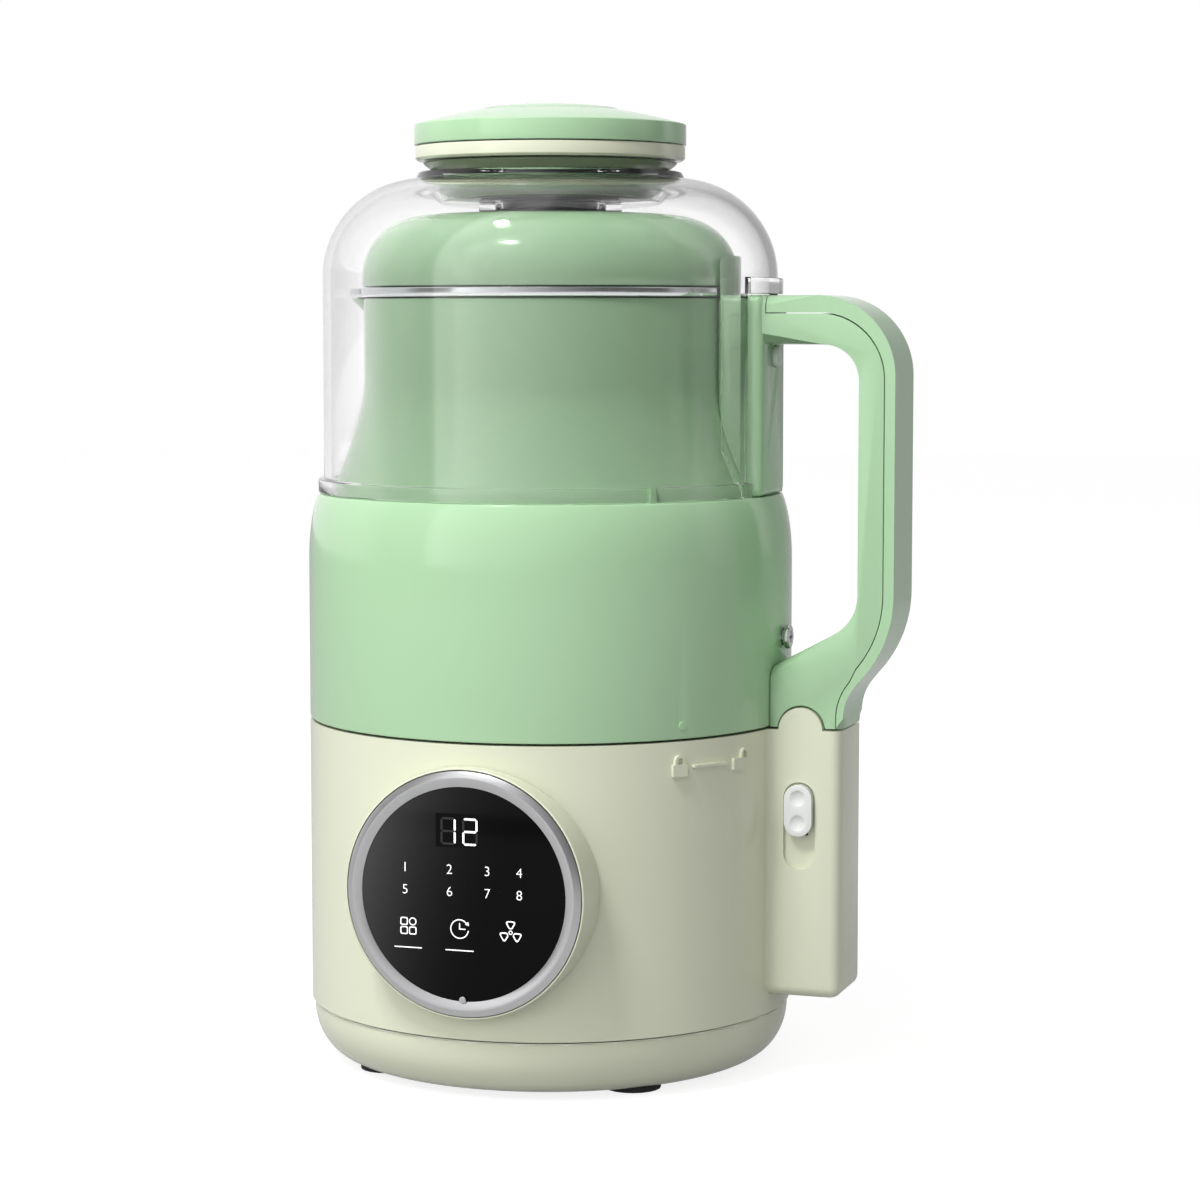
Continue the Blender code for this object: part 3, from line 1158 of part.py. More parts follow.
def make_blade_bearing(materials):
    bore = BLADE_SHAFT_RADIUS + GAP
    flange_foot = CUP_FLOOR_Z + GAP
    flange_top = flange_foot + BEARING_FLANGE_THICKNESS
    boss_top = flange_top + BEARING_BOSS_HEIGHT
    body_foot = flange_foot - BEARING_BODY_DROP
    bearing = turned([(BEARING_BOSS_RADIUS - BEARING_BOSS_TAPER, boss_top),
                      (BEARING_BOSS_RADIUS, flange_top), (BEARING_FLANGE_RADIUS, flange_top),
                      (BEARING_FLANGE_RADIUS, flange_foot), (BEARING_BODY_RADIUS, flange_foot),
                      (BEARING_BODY_RADIUS, body_foot), (bore, body_foot), (bore, boss_top)],
                     MEDIUM_SIDES)
    finish_part(bearing, "blade_bearing", materials["steel"])

    nut_top = CUP_UNDERSIDE_Z - GAP
    nut = rod(NUT_RADIUS, (0, 0, nut_top - NUT_HEIGHT), (0, 0, nut_top), NUT_SIDES)
    cut(nut, rod(BEARING_BODY_RADIUS + GAP, (0, 0, nut_top - NUT_HEIGHT - OVERRUN),
                 (0, 0, nut_top + OVERRUN)))
    finish_part(nut, "bearing_nut", materials["steel"])

    seal_foot = boss_top + GAP
    seal = turned([(SEAL_RADIUS, seal_foot + SEAL_HEIGHT), (SEAL_RADIUS, seal_foot),
                   (bore, seal_foot), (bore, seal_foot + SEAL_HEIGHT)], MEDIUM_SIDES)
    finish_part(seal, "shaft_seal", materials["rubber"])
    return seal_foot + SEAL_HEIGHT


def make_blades(hub_foot, materials):
    bore = BLADE_SHAFT_RADIUS + GAP
    driven_top, driven_foot, driven_tip, _, _ = coupling_heights()
    hub_top = hub_foot + BLADE_HUB_HEIGHT
    nut_foot = hub_top + GAP
    nut_top = nut_foot + BLADE_NUT_HEIGHT
    shaft = rod(BLADE_SHAFT_RADIUS, (0, 0, driven_foot + GAP), (0, 0, nut_top - GAP), SMALL_SIDES)
    finish_part(shaft, "blade_shaft", materials["steel"])

    cross = turned([(BLADE_HUB_RADIUS, hub_top), (BLADE_HUB_RADIUS, hub_foot),
                    (bore, hub_foot), (bore, hub_top)], MEDIUM_SIDES)
    middle = (hub_foot + hub_top) / 2
    half = BLADE_WIDTH / 2
    outline = [(0, half), (0, -half), (BLADE_REACH * BLADE_SWEEP_SHARE, -half),
               (BLADE_REACH, half * BLADE_TIP_SHARE), (BLADE_REACH, half)]
    for angle, tilt in zip(around(len(BLADE_TILTS)), BLADE_TILTS):
        pivot = BLADE_HUB_RADIUS - BLADE_THICKNESS
        blade = extruded([(across - half / 2, up) for across, up in outline], BLADE_THICKNESS / 2)
        lay_flat = Matrix.Rotation(math.radians(90), 4, "X")
        bend = Matrix.Rotation(math.radians(-tilt), 4, "Y")
        place = Matrix.Translation((pivot, 0, middle))
        blade.matrix_world = Matrix.Rotation(angle, 4, "Z") @ place @ bend @ lay_flat @ blade.matrix_basis
        join(cross, blade)
    cut(cross, rod(bore, (0, 0, hub_foot - OVERRUN), (0, 0, hub_top + OVERRUN)))
    finish_part(cross, "blade_cross", materials["steel"])

    nut = turned([(BLADE_NUT_RADIUS, nut_top), (BLADE_NUT_RADIUS, nut_foot),
                  (bore, nut_foot), (bore, nut_top)], SMALL_SIDES)
    finish_part(nut, "blade_nut", materials["steel"])

    coupling = turned([(COUPLING_RADIUS, driven_top), (COUPLING_RADIUS, driven_foot),
                       (bore, driven_foot), (bore, driven_top)], MEDIUM_SIDES)
    add_dogs(coupling, COUPLING_CORE_RADIUS + COUPLING_CLEARANCE, driven_tip,
             driven_top - COUPLING_DISC / 2, DRIVEN_DOG_ANGLE)
    finish_part(coupling, "driven_coupling", materials["black"])


def handle_outline():
    """The whole handle, seen from the side: its grip, its arm and its foot."""
    outer = HANDLE_REACH - OUTER_CORNER_RADIUS
    elbow_x = HANDLE_REACH - ELBOW_RADIUS
    bend_x, bend_z = foot_bend_center()
    inner_x = HANDLE_REACH - HANDLE_THICKNESS
    arm_bottom = ARM_TOP_Z - ARM_HEIGHT
    points = [(HANDLE_ROOT, ARM_TOP_Z)]
    points += arc((outer, ARM_TOP_Z - OUTER_CORNER_RADIUS),
                  (OUTER_CORNER_RADIUS, OUTER_CORNER_RADIUS), 90, 0, FINE_ARC_STEPS)
    points += arc((elbow_x, GRIP_FOOT_Z), (ELBOW_RADIUS, ELBOW_RADIUS), 0, -ELBOW_ANGLE)
    points += arc((bend_x, bend_z), (FOOT_BEND_RADIUS, FOOT_BEND_RADIUS), 180 - ELBOW_ANGLE, 180)
    foot = JUG_FOOT_Z - 2 * HANDLE_EDGE_RADIUS
    points += [(FOOT_REACH, foot), (HANDLE_ROOT, foot)]
    web = arc((inner_x - WEB_CORNER_RADIUS, GRIP_FOOT_Z),
              (WEB_CORNER_RADIUS, WEB_CORNER_RADIUS), WEB_ANGLE - 90, 0)
    web_x, web_z = web[0]
    points += [(HANDLE_ROOT, web_z - (web_x - HANDLE_ROOT) * math.tan(math.radians(WEB_ANGLE)))]
    points += web
    points += arc((inner_x - INNER_CORNER_RADIUS, arm_bottom - INNER_CORNER_RADIUS),
                  (INNER_CORNER_RADIUS, INNER_CORNER_RADIUS), 0, 90)
    points += [(HANDLE_ROOT, arm_bottom)]
    return points


def foot_bend_center():
    """Where the foot's bend turns, so that the slanted part touches both arcs."""
    slant = math.radians(ELBOW_ANGLE)
    start_x = HANDLE_REACH - ELBOW_RADIUS + ELBOW_RADIUS * math.cos(slant)
    start_z = GRIP_FOOT_Z - ELBOW_RADIUS * math.sin(slant)
    center_x = FOOT_REACH + FOOT_BEND_RADIUS
    end_x = center_x - FOOT_BEND_RADIUS * math.cos(slant)
    end_z = start_z - (start_x - end_x) / math.tan(slant)
    return center_x, end_z - FOOT_BEND_RADIUS * math.sin(slant)


def grip_zone(offset):
    """The zone outside the seam of the grip cover, seen from the side."""
    top = ARM_TOP_Z - GRIP_COVER_DROP - offset
    seam_x = HANDLE_REACH - GRIP_COVER_THICKNESS - offset
    radius = GRIP_SEAM_RADIUS
    bend_x, bend_z = foot_bend_center()
    elbow = ELBOW_RADIUS - GRIP_COVER_THICKNESS - offset
    bend = FOOT_BEND_RADIUS + GRIP_FOOT_THICKNESS + offset
    foot = JUG_FOOT_Z - 2 * HANDLE_EDGE_RADIUS - OVERRUN
    points = [(GRIP_COVER_START - offset, top)]
    points += arc((seam_x - radius, top - radius), (radius, radius), 90, 0, FINE_ARC_STEPS)
    points += arc((HANDLE_REACH - ELBOW_RADIUS, GRIP_FOOT_Z), (elbow, elbow), 0, -ELBOW_ANGLE)
    points += arc((bend_x, bend_z), (bend, bend), 180 - ELBOW_ANGLE, 180)
    points += [(bend_x - bend, foot), (HANDLE_REACH + OVERRUN, foot),
               (HANDLE_REACH + OVERRUN, ARM_TOP_Z + OVERRUN),
               (GRIP_COVER_START - offset, ARM_TOP_Z + OVERRUN)]
    return extruded(points, HANDLE_HALF_WIDTH + OVERRUN)


def jug_envelope():
    """The jug's outside with a gap around it, as one solid to cut with."""
    center = (BODY_RADIUS - SHOULDER_WIDTH, SHOULDER_FOOT_Z)
    radii = (SHOULDER_WIDTH + GAP, SHOULDER_HEIGHT + GAP)
    ledge = LEDGE_Z + GAP
    start = math.degrees(math.asin((ledge - SHOULDER_FOOT_Z) / radii[1]))
    high = BLOCK_TOP_Z + OVERRUN
    profile = [(0, high), (BLOCK_START, high), (BLOCK_START, NECK_TOP_Z)]
    profile += neck_profile(-GAP, NECK_TOP_Z)
    profile += [(FLARE_RADIUS + GAP, ledge)] + arc(center, radii, start, 0)
    profile += [(BODY_RADIUS + GAP, JUG_FOOT_Z - OVERRUN), (0, JUG_FOOT_Z - OVERRUN)]
    return turned(profile, ring=False)


def make_handle(materials):
    frame = extruded(handle_outline(), HANDLE_HALF_WIDTH, HANDLE_EDGE_RADIUS)
    join(frame, span((BLOCK_START - OVERRUN, -PILLAR_HALF_WIDTH, LEDGE_Z),
                     (PILLAR_REACH, PILLAR_HALF_WIDTH, ARM_TOP_Z), PILLAR_EDGE_RADIUS))
    join(frame, span((BLOCK_START - OVERRUN, -PILLAR_HALF_WIDTH, ARM_TOP_Z - ARM_HEIGHT),
                     (BLOCK_REACH, PILLAR_HALF_WIDTH, BLOCK_TOP_Z), PILLAR_EDGE_RADIUS))
    cut(frame, jug_envelope(), "jug_envelope")
    cut(frame, grip_zone(GAP), "grip_zone")
    cut(frame, span((0, -PILLAR_HALF_WIDTH - OVERRUN, WELL_FLOOR_Z),
                    (HANDLE_REACH + OVERRUN, PILLAR_HALF_WIDTH + OVERRUN, JUG_FOOT_Z)))
    tab_back = TAB_DEPTH + TAB_CLEARANCE - COLUMN_HALF_WIDTH
    cut(frame, rod(TAB_RADIUS + TAB_CLEARANCE, (TAB_X, -COLUMN_HALF_WIDTH - OVERRUN, BASE_TOP_Z),
                   (TAB_X, tab_back, BASE_TOP_Z)))
    half_plate = CONTACT_BLOCK_LENGTH / 2 + GAP
    half_width = CONTACT_BLOCK_WIDTH / 3 + GAP
    cut(frame, span((CONTACT_X - half_plate, -half_width, JUG_FOOT_Z - OVERRUN),
                    (CONTACT_X + half_plate, half_width, JUG_FOOT_Z + CONTACT_PLATE_THICKNESS + GAP)))
    cut(frame, rod(PLUG_RADIUS + GAP, (PILLAR_REACH - PLUG_DEPTH, PLUG_Y, PLUG_Z),
                   (PILLAR_REACH + OVERRUN, PLUG_Y, PLUG_Z), SMALL_SIDES))
    finish_part(frame, "handle_frame", materials["green"])

    cover = extruded(handle_outline(), HANDLE_HALF_WIDTH, HANDLE_EDGE_RADIUS)
    keep(cover, grip_zone(0), "grip_zone")
    cut(cover, span((0, -PILLAR_HALF_WIDTH - OVERRUN, WELL_FLOOR_Z),
                    (HANDLE_REACH + OVERRUN, PILLAR_HALF_WIDTH + OVERRUN, JUG_FOOT_Z)))
    finish_part(cover, "handle_cover", materials["green"])

    plug = rod(PLUG_RADIUS, (PILLAR_REACH - PLUG_DEPTH + GAP, PLUG_Y, PLUG_Z),
               (PILLAR_REACH + PLUG_PROUD, PLUG_Y, PLUG_Z), SMALL_SIDES)
    finish_part(plug, "screw_plug", materials["white"])

    head = BODY_RADIUS + 2 * GAP
    screw = rod(HANDLE_SCREW_HEAD_RADIUS, (head, 0, HANDLE_SCREW_Z),
                (head + HANDLE_SCREW_HEAD, 0, HANDLE_SCREW_Z), SMALL_SIDES)
    join(screw, rod(HANDLE_SCREW_RADIUS, (head + HANDLE_SCREW_HEAD / 2, 0, HANDLE_SCREW_Z),
                    (head - HANDLE_SCREW_LENGTH, 0, HANDLE_SCREW_Z), SMALL_SIDES))
    finish_part(screw, "handle_screw", materials["steel"])


def make_sound_cover(material):
    ring_foot = LEDGE_Z + GAP
    ring_top = ring_foot + COVER_RING_HEIGHT
    dome_x = COVER_RADIUS - COVER_CORNER_RADIUS
    dome_z = COVER_TOP_Z - COVER_CORNER_RADIUS
    inner_radius = COVER_RADIUS - COVER_WALL
    inner_corner = COVER_CORNER_RADIUS - COVER_WALL
    tube_inner = VALVE_RADIUS + VALVE_CLEARANCE
    tube_outer = tube_inner + COVER_TUBE_WALL
    step_z = COVER_TOP_Z + COLLAR_HEIGHT
    floor_under = COVER_WELL_FLOOR_Z - COVER_WELL_THICKNESS
    profile = [(tube_inner, COVER_WELL_FLOOR_Z), (COVER_WELL_RADIUS, COVER_WELL_FLOOR_Z),
               (COLLAR_RADIUS - COLLAR_WIDTH, step_z), (COLLAR_RADIUS - COLLAR_BEVEL, step_z),
               (COLLAR_RADIUS, COVER_TOP_Z)]
    start = math.degrees(math.acos((COLLAR_RADIUS + COLLAR_BEVEL - dome_x) / COVER_CORNER_RADIUS))
    profile += arc((dome_x, dome_z), (COVER_CORNER_RADIUS, COVER_CORNER_RADIUS), start, 0,
                   FINE_ARC_STEPS)
    profile += [(COVER_RADIUS, ring_top), (COVER_RING_RADIUS, ring_top),
                (COVER_RING_RADIUS, ring_foot), (inner_radius, ring_foot)]
    profile += arc((dome_x, dome_z), (inner_corner, inner_corner), 0, COVER_INNER_END, FINE_ARC_STEPS)
    well_outer = COVER_WELL_RADIUS + COVER_WELL_WALL
    tube_foot = floor_under - COVER_TUBE_DROP
    profile += [(COLLAR_RADIUS - COLLAR_WIDTH, COVER_TOP_Z - COVER_WALL), (well_outer, floor_under),
                (tube_outer, floor_under), (tube_outer, tube_foot), (tube_inner, tube_foot)]
    cover = turned(profile)
    cut(cover, span((SLOT_RIB_START, -SLOT_HALF_WIDTH, ring_foot - OVERRUN),
                    (COVER_RING_RADIUS + OVERRUN, SLOT_HALF_WIDTH, SLOT_TOP_Z)))
    add_slot_frame(cover, ring_foot, inner_radius)
    for side in (0, 180):
        lug = span((tube_inner + COVER_TUBE_WALL / 2, -COVER_LUG_WIDTH / 2, tube_foot),
                   (COVER_LUG_REACH, COVER_LUG_WIDTH / 2, tube_foot + COVER_LUG_HEIGHT))
        join(cover, turn_about_axis(lug, math.radians(side + COVER_LUG_ANGLE)))
    finish_part(cover, "sound_cover", material)


def add_slot_frame(cover, ring_foot, inner_radius):
    """Ribs at both sides of the slot, and the lip above it."""
    middle_radius = inner_radius + COVER_WALL / 2
    for side in (-1, 1):
        near, far = sorted((side * (SLOT_HALF_WIDTH - SLOT_RIB_LAP),
                            side * (SLOT_HALF_WIDTH + SLOT_RIB)))
        rib = span((SLOT_RIB_START, near, ring_foot), (middle_radius, far, SLOT_TOP_Z))
        keep(rib, rod(middle_radius, (0, 0, ring_foot - OVERRUN), (0, 0, SLOT_TOP_Z + OVERRUN),
                      LARGE_SIDES))
        cut(rib, jug_envelope(), "jug_envelope")
        join(cover, rib)
    lip_inner = COVER_RADIUS - COVER_WALL / 2
    lip = turned([(COVER_RING_RADIUS, SLOT_TOP_Z + SLOT_LIP_HEIGHT), (COVER_RING_RADIUS, SLOT_TOP_Z),
                  (lip_inner, SLOT_TOP_Z), (lip_inner, SLOT_TOP_Z + SLOT_LIP_HEIGHT)])
    keep(lip, span((0, -SLOT_HALF_WIDTH - SLOT_RIB, SLOT_TOP_Z - OVERRUN),
                   (COVER_RING_RADIUS + OVERRUN, SLOT_HALF_WIDTH + SLOT_RIB,
                    SLOT_TOP_Z + SLOT_LIP_HEIGHT + OVERRUN)))
    join(cover, lip)


def make_knob(materials):
    cap_foot = KNOB_BAND_Z
    ring_top = cap_foot - GAP
    ring_foot = ring_top - KNOB_RING_HEIGHT
    inner = KNOB_RADIUS - KNOB_WALL
    band_top = cap_foot + KNOB_BAND_HEIGHT
    crown = KNOB_DOME_HEIGHT - KNOB_DISC_HEIGHT
    sphere = (KNOB_RADIUS ** 2 + crown ** 2) / (2 * crown)
    under = sphere - KNOB_WALL
    center = (0, band_top + crown - sphere)
    raised = sphere + KNOB_DISC_HEIGHT
    disc_start = math.degrees(math.acos(KNOB_DISC_RADIUS / raised))
    disc_end = math.degrees(math.acos((KNOB_DISC_RADIUS + KNOB_DISC_EDGE) / sphere))
    edge = math.degrees(math.acos(KNOB_RADIUS / sphere))
    inner_edge = math.degrees(math.acos(inner / under))
    profile = [(0, KNOB_TOP_Z)] + arc(center, (raised, raised), 90, disc_start)[1:]
    profile += arc(center, (sphere, sphere), disc_end, edge)
    profile += [(KNOB_RADIUS, cap_foot), (inner, cap_foot)]
    profile += arc(center, (under, under), inner_edge, 90)[:-1]
    profile += [(0, center[1] + under)]
    finish_part(turned(profile, ring=False), "knob_cap", materials["green"])

    ring_inner = KNOB_RING_RADIUS - KNOB_RING_WIDTH
    ring = turned([(KNOB_RING_RADIUS, ring_top), (KNOB_RING_RADIUS, ring_foot),
                   (ring_inner, ring_foot), (ring_inner, ring_top)])
    finish_part(ring, "knob_ring", materials["cream"])

    top = ring_foot - GAP
    floor = COVER_WELL_FLOOR_Z + GAP
    bowl = turned([(BOWL_TOP_RADIUS, top), (BOWL_BEND_RADIUS, top - BOWL_BEND_DROP),
                   (BOWL_FLOOR_RADIUS, floor), (BOWL_HOLE_RADIUS, floor),
                   (BOWL_HOLE_RADIUS, floor + BOWL_WALL),
                   (BOWL_FLOOR_RADIUS - BOWL_WALL / 2, floor + BOWL_WALL),
                   (BOWL_BEND_RADIUS - BOWL_WALL, top - BOWL_BEND_DROP + BOWL_WALL / 2),
                   (BOWL_TOP_RADIUS - 2 * BOWL_WALL, top)])
    finish_part(bowl, "knob_bowl", materials["green"])


def make_inner_lid(materials):
    foot = RIM_TOP_Z + GAP
    bore = NECK_RADIUS - JACKET_WALL - CUP_CLEARANCE - CUP_WALL
    skirt = bore - LID_SKIRT_CLEARANCE
    skirt_inner = skirt - LID_SKIRT_WALL
    skirt_foot = foot - LID_SKIRT_DROP
    groove_top = foot - GASKET_DROP
    groove_foot = groove_top - GASKET_HEIGHT
    groove = skirt - GASKET_GROOVE
    corner = (LID_RADIUS - LID_CORNER_RADIUS, LID_TOP_Z - LID_CORNER_RADIUS)
    inner_corner = LID_CORNER_RADIUS - LID_WALL
    profile = [(LID_HOLE_RADIUS, LID_TOP_Z)]
    profile += arc(corner, (LID_CORNER_RADIUS, LID_CORNER_RADIUS), 90, 0, FINE_ARC_STEPS)
    profile += [(LID_RADIUS, foot), (skirt, foot), (skirt, groove_top), (groove, groove_top),
                (groove, groove_foot), (skirt, groove_foot), (skirt, skirt_foot),
                (skirt_inner, skirt_foot), (skirt_inner, foot + LID_WALL)]
    profile += arc(corner, (inner_corner, inner_corner), 0, 90)
    profile += [(LID_HOLE_RADIUS, LID_TOP_Z - LID_WALL)]
    finish_part(turned(profile), "inner_lid", materials["green"])

    gasket_outer = bore - GAP
    gasket = turned([(gasket_outer, groove_top - GAP), (gasket_outer, groove_foot + GAP),
                     (groove + GAP, groove_foot + GAP), (groove + GAP, groove_top - GAP)])
    finish_part(gasket, "lid_gasket", materials["rubber"])

    flange_foot = LID_TOP_Z + GAP
    flange_top = flange_foot + VALVE_FLANGE_THICKNESS
    valve_foot = LID_TOP_Z - VALVE_DROP
    inner = VALVE_RADIUS - VALVE_WALL
    valve = turned([(VALVE_RADIUS, VALVE_TOP_Z), (VALVE_RADIUS, flange_top),
                    (VALVE_FLANGE_RADIUS, flange_top), (VALVE_FLANGE_RADIUS, flange_foot),
                    (VALVE_RADIUS, flange_foot), (VALVE_RADIUS, valve_foot),
                    (inner, valve_foot), (inner, VALVE_TOP_Z)], MEDIUM_SIDES)
    finish_part(valve, "steam_valve", materials["grey"])


def make_materials():
    return {
        "green": new_material("Green gloss", (0.46, 0.70, 0.43), 0.25),
        "cream": new_material("Cream gloss", (0.70, 0.72, 0.57), 0.28),
        "white": new_material("White gloss", (0.83, 0.83, 0.80), 0.30),
        "steel": new_material("Brushed steel", (0.56, 0.57, 0.58), 0.30, 1.0),
        "chrome": new_material("Chrome", (0.62, 0.62, 0.64), 0.15, 1.0),
        "aluminium": new_material("Cast aluminium", (0.52, 0.53, 0.54), 0.45, 1.0),
        "copper": new_material("Enamelled copper", (0.64, 0.29, 0.14), 0.35, 1.0),
        "core": new_material("Core steel", (0.22, 0.22, 0.24), 0.50, 1.0),
        "carbon": new_material("Carbon", (0.04, 0.04, 0.04), 0.60),
        "black": new_material("Black matte", (0.03, 0.03, 0.03), 0.55),
        "glass": new_material("Black glass", (0.01, 0.01, 0.01), 0.05),
        "clear": new_material("Clear", (0.92, 0.93, 0.93), 0.04, 0.0, 1.0),
        "rubber": new_material("Rubber", (0.10, 0.10, 0.10), 0.75),
        "grey": new_material("Grey matte", (0.27, 0.28, 0.29), 0.50),
        "board": new_material("Board green", (0.05, 0.20, 0.08), 0.50),
    }


def make_all(materials):
    make_base_shell(materials["cream"])
    make_base_deck(materials["cream"])
    make_bottom_pan(materials["cream"])
    make_feet(materials["rubber"])
    make_lock_ring(materials["grey"])
    make_panel(materials["cream"], materials["chrome"], materials["glass"], materials["black"],
               materials["board"])
    make_slide_button(materials["white"], materials["black"])
    make_contacts(materials["black"], materials["black"])
    make_power(materials["black"], materials["board"])
    make_field(materials["core"], materials["copper"])
    lower_top = make_brackets(materials["aluminium"], materials["chrome"])
    make_brushes(lower_top, materials["chrome"], materials["carbon"])
    make_rotor(materials)
    make_jug_jacket(materials["green"])
    make_steel_cup(materials["steel"])
    make_jug_base(materials["black"])
    make_heater(materials["aluminium"], materials["black"])
    seal_top = make_blade_bearing(materials)
    make_blades(seal_top + GAP, materials)
    make_handle(materials)
    make_sound_cover(materials["clear"])
    make_knob(materials)
    make_inner_lid(materials)


clear_scene()
PARTS = new_collection(PART_NAME)
CUTTERS = new_collection("cutters")
make_all(make_materials())
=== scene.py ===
"""Looks of the soy milk maker: fine meshes, finishes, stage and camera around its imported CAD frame.

Everything is in metres, in the frame of the CAD part: the control panel faces -Y, the handle +X.
"""

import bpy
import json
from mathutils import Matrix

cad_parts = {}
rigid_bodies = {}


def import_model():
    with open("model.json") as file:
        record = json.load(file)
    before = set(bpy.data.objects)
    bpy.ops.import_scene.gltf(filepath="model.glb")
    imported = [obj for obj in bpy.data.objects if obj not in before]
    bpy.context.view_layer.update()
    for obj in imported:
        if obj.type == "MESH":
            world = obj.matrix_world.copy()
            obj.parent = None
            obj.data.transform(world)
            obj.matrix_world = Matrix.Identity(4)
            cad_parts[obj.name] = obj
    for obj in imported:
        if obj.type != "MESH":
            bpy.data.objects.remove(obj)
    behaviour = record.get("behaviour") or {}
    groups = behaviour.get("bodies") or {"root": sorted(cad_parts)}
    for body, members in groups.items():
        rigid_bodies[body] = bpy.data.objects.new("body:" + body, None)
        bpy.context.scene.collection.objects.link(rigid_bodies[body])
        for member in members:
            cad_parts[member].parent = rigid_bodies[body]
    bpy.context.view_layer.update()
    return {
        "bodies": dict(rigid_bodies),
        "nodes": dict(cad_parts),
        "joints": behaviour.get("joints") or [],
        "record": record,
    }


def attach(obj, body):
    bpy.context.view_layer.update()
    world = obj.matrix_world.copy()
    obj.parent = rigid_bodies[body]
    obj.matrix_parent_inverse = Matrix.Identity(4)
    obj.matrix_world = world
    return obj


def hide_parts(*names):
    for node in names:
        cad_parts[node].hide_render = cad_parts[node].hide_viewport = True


bl_info = {
    "name": "Soy Milk Maker",
    "version": (1, 0, 0),
    "blender": (4, 5, 0),
    "location": "3D Viewport > Sidebar > Soy Milk Maker",
    "description": "Dresses the soy milk maker's frame with fine meshes and finishes",
    "category": "Object",
}

import json
import math

import bmesh
import bpy
from mathutils import Matrix, Vector

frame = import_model()

FULL_TURN = math.tau
FINEST_SIDES = 192
FINE_SIDES = 160
LARGE_SIDES = 128
MEDIUM_SIDES = 64
SMALL_SIDES = 32
SHARP_ANGLE = math.radians(32)
MERGE = 1e-6
FIT = 0.0003
BUTTON_X = 0.0781


# Sizes and colours that a user would change


def length(name, description, default):
    return bpy.props.FloatProperty(
        name=name, description=description, default=default, min=0.0, unit="LENGTH", precision=4)


def angle(name, description, default):
    return bpy.props.FloatProperty(
        name=name, description=description, default=math.radians(default), subtype="ANGLE")


def colour(name, description, default):
    return bpy.props.FloatVectorProperty(
        name=name, description=description, default=default, size=3, min=0.0, max=1.0,
        subtype="COLOR")


class BaseSizes(bpy.types.PropertyGroup):
    radius: length("Radius", "Radius of the round base", 0.0700)
    wall: length("Wall", "Thickness of the base housing", 0.0026)
    foot: length("Foot height", "Height of the housing's lower edge", 0.0179)
    top: length("Top", "Height of the housing's upper edge", 0.0992)
    edge: length("Edge", "Rounding of the housing's rims", 0.0008)
    column_reach: length("Column reach", "How far the column stands out under the handle", 0.0900)
    column_half_width: length("Column half width", "Half the width of the column", 0.0125)
    column_foot: length("Column foot", "Height of the column's lower end", 0.0230)
    column_edge: length("Column edge", "Rounding of the column's corners", 0.0032)
    column_root: length("Column root", "Rounding where the column leaves the round body", 0.0015)
    tab_x: length("Tab place", "Where the round tab stands on the column", 0.0783)
    tab_radius: length("Tab radius", "Radius of the round tab", 0.0063)
    tab_depth: length("Tab depth", "Thickness of the round tab", 0.0025)


class PanelSizes(bpy.types.PropertyGroup):
    x: length("Panel place", "Sideways place of the round panel's axis", 0.0006)
    z: length("Panel height", "Height of the round panel's axis", 0.0590)
    face: length("Face", "How far the housing's face stands from the main axis", 0.0745)
    housing: length("Housing radius", "Outer radius of the panel housing", 0.0345)
    bore: length("Bore", "Radius of the hole behind the glass", 0.0279)
    ring: length("Ring radius", "Outer radius of the metal ring", 0.0337)
    ring_inner: length("Ring inner radius", "Inner radius of the metal ring", 0.0306)
    ring_proud: length("Ring proud", "How far the metal ring stands proud of the housing", 0.0010)
    glass_recess: length("Glass recess", "How far the glass lies below the ring", 0.0008)
    sign_lift: length("Sign lift", "Thickness of the printed signs", 0.00006)


class JugSizes(bpy.types.PropertyGroup):
    foot: length("Foot", "Height of the jacket's lower edge", 0.0998)
    ledge: length("Ledge", "Height of the ledge that carries the cover", 0.1643)
    neck_top: length("Neck top", "Height of the neck's upper edge", 0.2200)
    neck: length("Neck radius", "Radius of the neck", 0.0538)
    flare: length("Flare radius", "Radius of the flare at the ledge", 0.0627)
    wall: length("Wall", "Thickness of the jacket", 0.0026)
    cup: length("Cup radius", "Radius of the steel cup", 0.0620)
    cup_wall: length("Cup wall", "Thickness of the steel cup", 0.0009)
    cup_floor: length("Cup floor", "Height of the steel cup's floor", 0.1180)
    rim: length("Rim radius", "Radius of the steel rim", 0.0545)
    rim_top: length("Rim top", "Height of the steel rim", 0.2230)
    spout_reach: length("Spout reach", "How far the spout reaches from the axis", 0.0618)
    spout: length("Spout radius", "Radius of the spout's round lip", 0.0128)


class HandleSizes(bpy.types.PropertyGroup):
    reach: length("Reach", "How far the grip stands from the axis", 0.1045)
    thickness: length("Thickness", "Thickness of the grip", 0.0103)
    half_width: length("Half width", "Half the width of the grip", 0.0115)
    edge: length("Edge", "Rounding of the grip", 0.0042)
    arm_top: length("Arm top", "Height of the arm's top", 0.2208)
    arm_height: length("Arm height", "Thickness of the arm", 0.0137)
    seam: length("Seam", "Width of the seam around the grip cover", 0.0003)


class CoverSizes(bpy.types.PropertyGroup):
    radius: length("Radius", "Radius of the clear cover", 0.0655)
    wall: length("Wall", "Thickness of the clear cover", 0.0022)
    corner: length("Corner", "Rounding of the cover's shoulder", 0.0280)
    top: length("Top", "Height of the cover's flat top", 0.2541)
    ring: length("Ring", "Radius of the ring on the ledge", 0.0671)
    knob: length("Knob radius", "Radius of the twist knob", 0.0391)
    knob_top: length("Knob top", "Height of the knob's crown", 0.2756)
    lid: length("Lid radius", "Radius of the inner lid", 0.0542)
    lid_top: length("Lid top", "Height of the inner lid", 0.2440)


